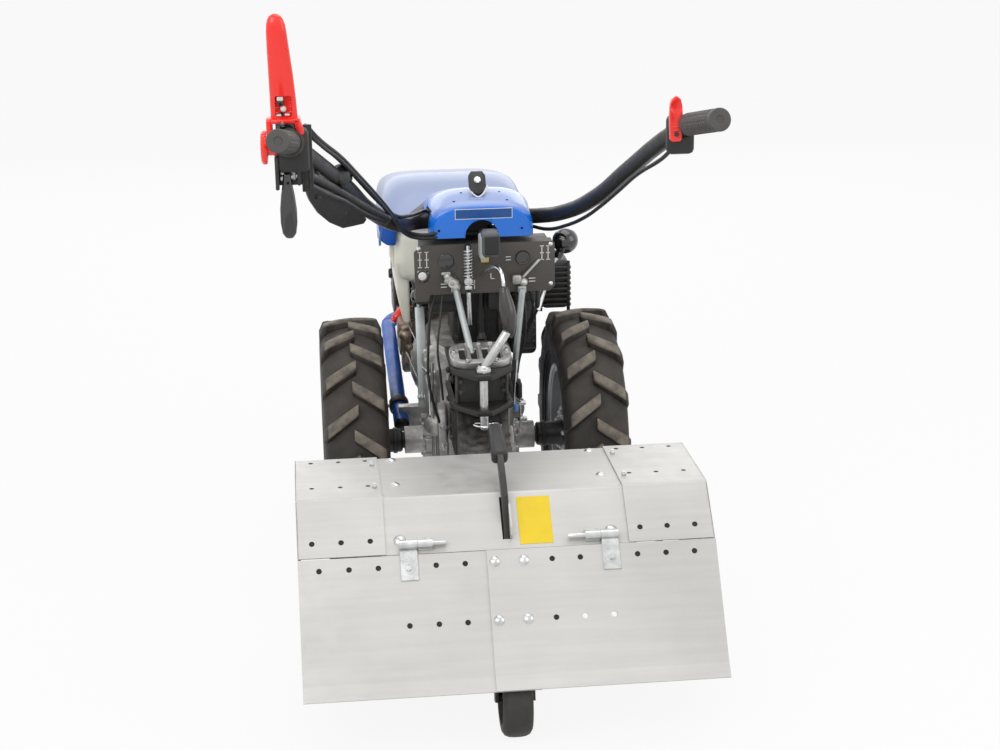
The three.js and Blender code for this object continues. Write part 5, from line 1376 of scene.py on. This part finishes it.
PLATE = [(-58, -150.3), (-58, -300), (-54, -306), (-14, -352), (14, -352), (54, -306), (58, -300),
         (58, -150.3)]
body = plate([(-50, -150.3), (-50, -286), (-44, -292), (44, -292), (50, -286), (50, -150.3)], "z", 306, 486,
             2, 2)
hollow = box((-38, -330, 318), (38, -270, 416), 4, 2)
upper = plate(PLATE, "z", 486, 497, 1.8, 2)
lower = plate(PLATE, "z", 417, 428, 1.8, 2)
ribs = across(box((44, -300, 428), (50, -160, 486), 2, 1))
welds = across(rod((50, -290, 428), (50, -160, 428), 3, sides=10))
face = carved(body, hollow)
piece("hitch_body", merged(face, ribs, welds), ROUGH_BLACK, "chassis", ("hitch_housing",),
      smooth=30)
plates = [carved(half, rod((0, -332, 380), (0, -332, 520), 8.8, sides=32)) for half in (upper, lower)]
piece("hitch_plates", merged(*plates), BLACK_PAINT, "chassis", smooth=30)
hitch_bolts = merged(*[bolt((x, -292, z), (0, -1, 0), 7) for x in (-40, 40) for z in (450, 470)],
                     *[bolt((side * 50, y, z), (side, 0, 0), 8) for side in (-1, 1) for y in (-180, -240)
                       for z in (340, 400, 458)])
piece("hitch_bolts", hitch_bolts, ROUGH_BLACK, "chassis")

shank = turned([(0, 384), (5, 384), (8.2, 388), (8.2, 494), (0, 494)], (0, -332, 0), (0, -332, 1), 40)
collar = merged(rod((0, -332, 497.3), (0, -332, 506), 15, sides=6, soft=1),
                turned([(0, 506), (12, 506), (11, 510), (8.5, 512), (0, 512)], (0, -332, 0), (0, -332, 1),
                       32))
handle = rod((1, -332.5, 505), (44, -336, 575), 8.3, sides=32, soft=2)
cross = rod((-5, -332, 396), (5, -332, 396), 2.2, sides=12)
piece("hitch_pin_bar", merged(shank, collar, handle, cross), ZINC, "chassis", ("hitch_pin",))
clip = pipe([(9, -332, 396), (20, -334, 398), (30, -350, 400), (22, -366, 402), (2, -371, 403),
             (-16, -362, 403), (-22, -346, 402), (-12, -334, 399), (-6, -332, 397)], 1.9, detail=10)
spring_bar = plate([(-3, -338), (8, -338), (8, -326), (-3, -326)], "z", 388, 392, 0.8, 1)
piece("hitch_ring_clip", merged(clip, spring_bar), CHROME, "chassis")

# ------------------------------------------------------------------ gearbox and what is bolted to it

box_shape = cad_copy("gearbox", 2.2, 3, flat=2)
ribs = []
for side in (-1, 1):
    for y in (-96, -48, 0, 48):
        ribs.append(box((side * 76 - 4, y - 3.5, 190), (side * 76 + 4, y + 3.5, 452), 2.4, 2))
    ribs.append(box((side * 76 - 3, -130, 332), (side * 76 + 3, 116, 340), 2, 2))
for x in (-52, 52):
    ribs.append(box((x - 4, -153, 240), (x + 4, -146, 440), 2, 2))
for turn in (30, 150, 210, 330, 90, 270):
    angle = math.radians(turn)
    for side in (-1, 1):
        spot = (side * 92, 46 * math.cos(angle), 255 + 46 * math.sin(angle))
        beyond = (spot[0] + side, spot[1], spot[2])
        ribs.append(turned([(0, 6), (7, 6), (9, 0), (9, -12), (0, -12)], spot, beyond, 20))
piece("gearbox_casting", merged(box_shape, *ribs), CAST, "chassis", ("gearbox",), smooth=30)
bolts = []
for side in (-1, 1):
    for i in range(8):
        angle = (i + 0.5) * math.pi / 4
        bolts.append(bolt((side * 92, 40 * math.cos(angle), 255 + 40 * math.sin(angle)), (side, 0, 0), 5.5))
    for y, z in ((-110, 430), (-110, 200), (100, 430), (100, 220), (0, 440), (-60, 440)):
        bolts.append(bolt((side * 76, y, z), (side, 0, 0), 6))
for i in range(10):
    angle = i * math.pi / 5
    bolts.append(bolt((96 * math.cos(angle), 186, 360 + 96 * math.sin(angle)), (0, -1, 0), 6))
piece("gearbox_bolts", merged(*bolts), ZINC, "chassis")

# castings that stand proud of the gearbox's left and right rear corners, with their cover bolts
lid = turned([(0, 0), (34, 0), (34, 8), (28, 14), (20, 15), (14, 21), (0, 22), (0, 0)], (-66, -100, 452),
             (-84, -122, 456), 32)
dome = turned([(0, 0), (24, 0), (26, 10), (20, 22), (10, 26), (0, 27), (0, 0)], (-72, -120, 330),
              (-86, -152, 334), 32)
spout = turned([(0, 0), (22, 0), (22, 9), (15, 13), (15, 24), (0, 25), (0, 0)], (74, -110, 352),
               (92, -128, 350), 28)
left_cover = plate([(-150, 214), (-176, 250), (-178, 330), (-168, 372), (-150, 384)], "x", -76, -58, 4, 3)
right_cover = plate([(-150, 214), (-172, 246), (-172, 300), (-150, 330)], "x", 60, 76, 4, 3)
lumps = merged(lid, box((-96, -136, 372), (-70, -84, 424), 9, 3), dome, left_cover, right_cover,
               box((66, -140, 396), (88, -96, 436), 7, 3), spout)
piece("gearbox_covers", lumps, CAST, "chassis", smooth=32)
small = []
for turn in (0.3, 1.6, 2.9, 4.2, 5.5):
    spot = (-82 - 12 * math.cos(turn), -114 + 15 * math.sin(turn), 454 + 22 * math.sin(turn + 1.2))
    small.append(bolt(spot, (-0.6, -0.8, 0.1), 4.5))
small += [bolt((-84, -136, z), (0, -1, 0), 5.5) for z in (384, 412)]
small += [bolt((-67, y, z), (-0.2, -1, 0), 6) for y, z in ((-177, 262), (-178, 300), (-176, 340))]
small += [bolt((68, -172, z), (0, -1, 0), 6) for z in (258, 290)]
small += [bolt((78, -140, z), (0, -1, 0), 5) for z in (404, 428)]
piece("gearbox_cover_bolts", merged(*small), ZINC, "chassis")

# clevis and plate linkages either side of the hitch
left_link = plate([(-160, 360), (-148, 352), (-126, 420), (-136, 428)], "x", -92, -88, 1, 1)
right_link = plate([(-192, 330), (-176, 326), (-168, 384), (-182, 392)], "x", 84, 88, 1, 1)
tie_lines = (((-86, -152, 352), (-84, -170, 470)), ((-86, -158, 440), (-98, -60, 430)),
             ((72, -186, 380), (80, -176, 470)))
tie_rods = [rod(start, end, 3, sides=16) for start, end in tie_lines]
link_nut = rod((84, -186, 352), (98, -186, 352), 6, sides=6)
link_pin = rod((82, -180, 384), (96, -180, 384), 5, sides=16, soft=1)
piece("rear_links", merged(left_link, *tie_rods, right_link, link_nut, link_pin), ZINC, "chassis")
clevis = merged(box((62, -196, 398), (70, -170, 428), 2, 2), box((80, -196, 398), (88, -170, 428), 2, 2),
                box((62, -178, 396), (88, -166, 430), 2, 2))
piece("rear_clevis", clevis, ROUGH_BLACK, "chassis")
tab = box((70, -200, 372), (80, -186, 386), 2.4, 2)
PALE_BLUE = finish("pale_blue", (0.12, 0.30, 0.62), 0.35)
piece("blue_tab", tab, PALE_BLUE, "chassis")

# the selector gate: an oval cast frame with four openings, each floored with a near-black sheet as painted
# shade
turns = [i * math.pi / 24 + 0.01 for i in range(48)]
oval = [(58 * signed_power(math.cos(turn), 0.6), 50 * signed_power(math.sin(turn), 0.6)) for turn in turns]
WINDOWS = (-33, -11, 11, 33)
ring = carved(plate(oval, "z", 0, 15, 3, 3),
              merged(*[box((x - 8, -34, 5), (x + 8, 34, 40), 5, 3) for x in WINDOWS]))
web = [(0, 0), (4.5, 0), (4.5, 17), (3.4, 18.4), (0, 18.6), (0, 0)]
webs = merged(*[turned(web, (x, 39, 0), (x, 39, 1), 20) for x in (-22, 0, 22)])
tilt = (Matrix.Translation((0, -264, 503)) @ Matrix.Rotation(math.radians(10), 4, "X")
        @ Matrix.Diagonal((1, 0.86, 1, 1)))
ring = sliced_off(moved(merged(ring, webs), tilt), (0, 0, 497.5), (0, 0, -1))
piece("gate_ring_casting", ring, CAST, "chassis", ("gate_ring",), smooth=40)
ring_bolts = merged(*[bolt(tilt @ point(x, y, 15), (0, -0.2, 1), 5)
                      for x, y in ((50, 0), (-50, 0), (26, -42), (-26, -42))])
# near-black sheets on the openings' floors: painted shade
shade_in_wells = merged(*[moved(box((x - 7.8, -33.8, 5.2), (x + 7.8, 33.8, 6.2)), tilt) for x in WINDOWS])
piece("gate_opening_shade", shade_in_wells, SHADE_BLACK, "chassis")
piece("gate_ring_bolts", ring_bolts, ZINC, "chassis")

base = cad_copy("column_base", 2, 2)
base_ribs = merged(*[box((x - 3, -101, 490), (x + 3, -95, 590), 1.6, 2) for x in (-25, 15, 55)],
                   *[bolt((x, -96, z), (0, -1, 0), 7) for x in (-30, 60) for z in (500, 585)])
piece("column_base_body", merged(base, base_ribs), ROUGH_BLACK, "chassis", ("column_base",))

# ------------------------------------------------------------------ engine

parts = [box((-90, 200.5, 285), (84, 452, 420), 14, 3)]
parts.append(box((-70, 214, 410), (74, 440, 470), 10, 2))
parts += [box((-84 - (i % 2) * 4, 226, 426 + i * 11), (80, 430, 430 + i * 11), 1.6, 1) for i in range(7)]
parts.append(box((-60, 230, 470), (66, 430, 524), 8, 2))
parts += [box((-78, 236, 505 + i * 9), (76, 420, 508 + i * 9), 1.4, 1) for i in range(4)]
parts.append(box((-64, 250, 530), (64, 404, 555.5), 9, 3))
parts.append(turned([(0, 0), (40, 0), (42, 5), (42, 26), (36, 30), (0, 30), (0, 0)], (-88, 300, 350),
                    (-112, 300, 350), 40))
parts += [box((-96, y, 300), (-88, y + 5, 400), 2, 1) for y in range(220, 440, 24)]
piece("engine_castings", merged(*parts), ENGINE, "chassis", ("engine_block",), smooth=32)
shroud = box((-100, 452, 300), (72, 469.6, 480), 10, 3)
stay = box((-58, 430, 540), (58, 438, 700), 3, 1)
piece("engine_shroud", merged(shroud, stay), BLACK_PAINT, "chassis")
carb = [turned([(0, 0), (16, 0), (16, 14), (11, 18), (11, 40), (0, 40), (0, 0)], (-82, 226, 466),
               (-108, 206, 466), 28), turned([(0, 0), (15, 0), (16, 4), (16, 26), (12, 30), (0, 31),
                                              (0, 0)], (-94, 212, 452), (-94, 212, 420), 28),
        box((-104, 196, 456), (-84, 222, 480), 4, 2), rod((-98, 190, 470), (-98, 232, 470), 5, sides=16)]
carb += [box((-134, 116, 434), (-106, 168, 474), 7, 3), ball((-120, 112, 446), 13, 24),
         box((-130, 120, 404), (-106, 160, 440), 8, 3),
         rod((-126, 108, 460), (-110, 108, 466), 6, sides=16, soft=1), ball((-112, 118, 418), 9, 20),
         box((-126, 124, 380), (-108, 150, 406), 5, 3)]
AGED_ALLOY = finish("aged_alloy", (0.34, 0.26, 0.20), 0.45, metal=0.5, mottled=(45, 0.45),
                    worn=((0.7, 0.66, 0.6), 0.8), dusty=(DUST, 0.3), grained=(330, 1.2), patches=0.12)
piece("carburettor", merged(*carb), AGED_ALLOY, "chassis", smooth=40)
engine_bolts = [bolt((-112, 300 + 34 * math.sin(turn), 350 + 34 * math.cos(turn)), (-1, 0, 0), 5)
                for turn in (0, 1.26, 2.5, 3.77, 5)]
engine_bolts += [bolt((-90, y, 412), (-1, 0, 0), 5) for y in (240, 300, 360, 420)]
piece("engine_bolts", merged(*engine_bolts), ZINC, "chassis")
plug_cap = merged(rod((-118, 180, 484), (-138, 168, 466), 9.6, 8.6, sides=24, soft=2),
                  rod((-138, 168, 466), (-143, 165, 461), 6.4, sides=16, soft=1))
piece("red_plug_cap", plug_cap, RED, "chassis")
wires = [pipe([(-100, 200, 470), (-120, 170, 456), (-134, 160, 440), (-122, 165, 424), (-106, 180, 430)],
              1.2), pipe([(-96, 205, 452), (-118, 150, 420), (-112, 80, 400), (-102, 20, 380),
                          (-84, -60, 360)], 2.0), pipe([(-98, 196, 468), (-112, 130, 470), (-104, 60, 456),
                                                        (-88, -40, 440)], 1.4)]
piece("engine_wires", merged(*wires), ZINC, "chassis")
hoses = [pipe([(-60, 120, 556), (-86, 110, 530), (-96, 130, 500), (-92, 180, 476), (-94, 206, 462)], 4.2),
         pipe([(-74, -150, 600), (-84, -152, 560), (-90, -160, 500), (-92, -172, 440), (-84, -178, 390),
               (-70, -170, 340)], 2.6), pipe([(-60, -152, 600), (-66, -168, 560), (-74, -186, 500),
                                              (-70, -196, 450), (-66, -190, 400)], 2.2),
         pipe([(96, -150, 604), (100, -156, 560), (98, -150, 500), (88, -146, 460), (84, -150, 436)], 2.6),
         pipe([(110, -148, 604), (118, -130, 560), (112, -100, 520), (90, -80, 480)], 2.4),
         pipe([(126, -140, 560), (112, -120, 520), (96, -110, 470), (86, -112, 436)], 2.4),
         pipe([(50, -150, 600), (58, -158, 560), (56, -166, 530)], 2.6)]
piece("control_hoses", merged(*hoses), BLACK_PLASTIC, "chassis", smooth=60)

cleaner = merged(box((-131, 336, 420), (-112.3, 440, 540), 8, 4), box((-126, 236, 362), (-112.3, 340, 452),
                                                                      6, 3),
                 box((-132.4, 350, 474), (-118, 426, 480), 2, 2))
knob = turned([(0, 8), (9, 8), (11, 5), (11, 0), (0, 0)], (-130, 388, 508), (-133, 388, 508), 24)
piece("air_cleaner_case", merged(cleaner, knob), BLACK_PLASTIC, "chassis", ("air_cleaner",))

# muffler: a pressed box behind slatted guards
shell = box((168, 128, 484), (228, 234, 588), 12, 4)
slats = []
for i in range(8):
    z = 491 + i * 11.4
    slats.append(box((161, 121, z), (229.6, 126, z + 6.6), 2, 2))
    slats.append(box((226, 124, z), (230, 238, z + 6.6), 1.6, 2))
    slats.append(box((160.4, 124, z), (164, 238, z + 6.6), 1.6, 2))
frame_bars = [box((x - 3.5, 120.6, 482), (x + 3.5, 125, 589), 1.6, 2) for x in (166, 224)]
outlet = merged(box((84.3, 285, 498), (146, 315, 528), 6, 2), box((134, 200, 498), (174, 315, 528), 6, 2))
piece("muffler_guarded", merged(shell, outlet, *slats, *frame_bars), ROUGH_BLACK, "chassis",
      ("muffler",))

low, high = room("recoil_starter")
axis_x, axis_z = (low.x + high.x) / 2, (low.z + high.z) / 2
starter = turned([(0, 0), (96, 0), (96, 30), (93, 35), (82, 47), (70, 58), (64, 61.6), (0, 61.6), (0, 0)],
                 (axis_x, low.y, axis_z), (axis_x, high.y, axis_z), 72)
vents = []
for r in (30, 56):
    vent = box((axis_x - 3, low.y + 30, axis_z + r), (axis_x + 3, high.y + 10, axis_z + r + 15), 2.4, 2)
    vents.append(ring_of(vent, 24, (axis_x, 0, axis_z), (axis_x, 1, axis_z)))
starter = carved(starter, merged(*vents))
rope_grip = pipe([(axis_x + 40, high.y - 14, axis_z + 70), (axis_x + 52, high.y - 8, axis_z + 76),
                  (axis_x + 64, high.y - 10, axis_z + 70)], 6)
piece("recoil_cover", merged(starter, rope_grip), BLACK_PLASTIC, "chassis",
      ("recoil_starter",))

# ------------------------------------------------------------------ guard rails and bow

def rail_spot(x, y):
    """The middle of a guard rail at y, on its gentle climb."""
    return x, y, 268 + 0.145 * (y - 60)


for name, x, side in (("left", -135, -1), ("right", 104, 1)):
    tube = turned([(0, 0), (12.4, 0), (13.4, 0), (16, 0), (16, 504), (0, 504)], rail_spot(x, 59),
                  rail_spot(x, 558), 40)
    piece(f"{name}_rail_tube", tube, TUBE_BLUE, "chassis", (f"{name}_rail",), smooth=50)
    cap = turned([(0, 5), (9, 4.6), (14, 2.4), (15.4, 0), (15.4, -2), (0, -2)], rail_spot(x, 58),
                 rail_spot(x, 50), 32)
    piece(f"{name}_rail_cap", cap, BLACK_PLASTIC, "chassis", smooth=60)
    band = turned([(16.1, 0), (20.5, 0), (21, 1), (21, 23), (20.5, 24), (16.1, 24), (16.1, 0)],
                  rail_spot(x, 136), rail_spot(x, 160), 40)
    z = rail_spot(x, 148)[2]
    ear = box((x - 8, 138, z - 32), (x + 8, 158, z - 18), 2.4, 2)
    piece(f"{name}_rail_band", merged(band, ear), ROUGH_BLACK, "chassis")
    band_bolts = merged(bolt((x, 138, z - 25), (0, -1, 0), 6), bolt((x + side * 20, 148, z), (side, 0, 0), 5))
    piece(f"{name}_rail_bolts", band_bolts, ZINC, "chassis")
bow = cad_copy("front_bow", 0.8, 1, flat=3)
piece("front_bow_tube", bow, TUBE_BLUE, "chassis", ("front_bow",), smooth=45)
plate_bolts = merged(*[bolt((-15.5 + side * 52, 628, z), (0, 1, 0), 7) for side in (-1, 1)
                       for z in (306, 376)])
piece("front_plate_bolts", plate_bolts, ZINC, "chassis")

# ------------------------------------------------------------------ tiller

case = cad_copy("tiller_case", 2.4, 3, flat=2)
piece("tiller_case_casting", case, ROUGH_BLACK, "chassis", ("tiller_case",))
blades = cad_copy("rotor", 0.9, 1, flat=2)
piece("rotor_tines", blades, TINE, "tiller_rotor", ("rotor",))
ROTOR_Y, ROTOR_Z = -575, 190
tine_bolts = []
for side in (-1, 1):
    for row, at in enumerate((80, 185, 290)):
        for i in range(4):
            turn = i * math.pi / 2 + row * 0.52 + (0.26 if side > 0 else 0)
            spot = point(side * (at + 5), ROTOR_Y - 31 * math.sin(turn), ROTOR_Z + 31 * math.cos(turn))
            tine_bolts.append(bolt(spot, (side, 0, 0), 5.5))
piece("rotor_bolts", merged(*tine_bolts), ZINC, "tiller_rotor")

low, high = room("depth_wheel")
centre = (low + high) / 2
wheel = turned([(8.3, 17), (20, 17), (22, 13), (38, 13), (42, 17), (46, 25), (58, 25), (64, 21), (67, 14),
                (68, 6), (68, 0), (68, -6), (67, -14), (64, -21), (58, -25), (46, -25), (42, -17),
                (38, -13), (22, -13), (20, -17), (8.3, -17), (8.3, 17)], centre, centre + point(1, 0, 0),
               72)
piece("depth_wheel_rubber", wheel, PLAIN_RUBBER, "depth_wheel", ("depth_wheel",), smooth=40)

stem = cad_copy("depth_lever", 1.4, 2, flat=2)
piece("depth_lever_bar", stem, BLACK_PAINT, "chassis", ("depth_lever",), smooth=40)
grip = box((-14.6, -46, -13), (14.6, 48, 13.4), 8, 5)
for spot in grip.verts:
    spot.co.x *= 1 - 0.0016 * (spot.co.y + 46)
grip = moved(grip, facing((0, -563, 439.6), (0, -520, 452)) @ Matrix.Rotation(math.pi / 2, 4, "X"))
piece("depth_lever_grip", grip, BLACK_PLASTIC, "chassis", smooth=60)
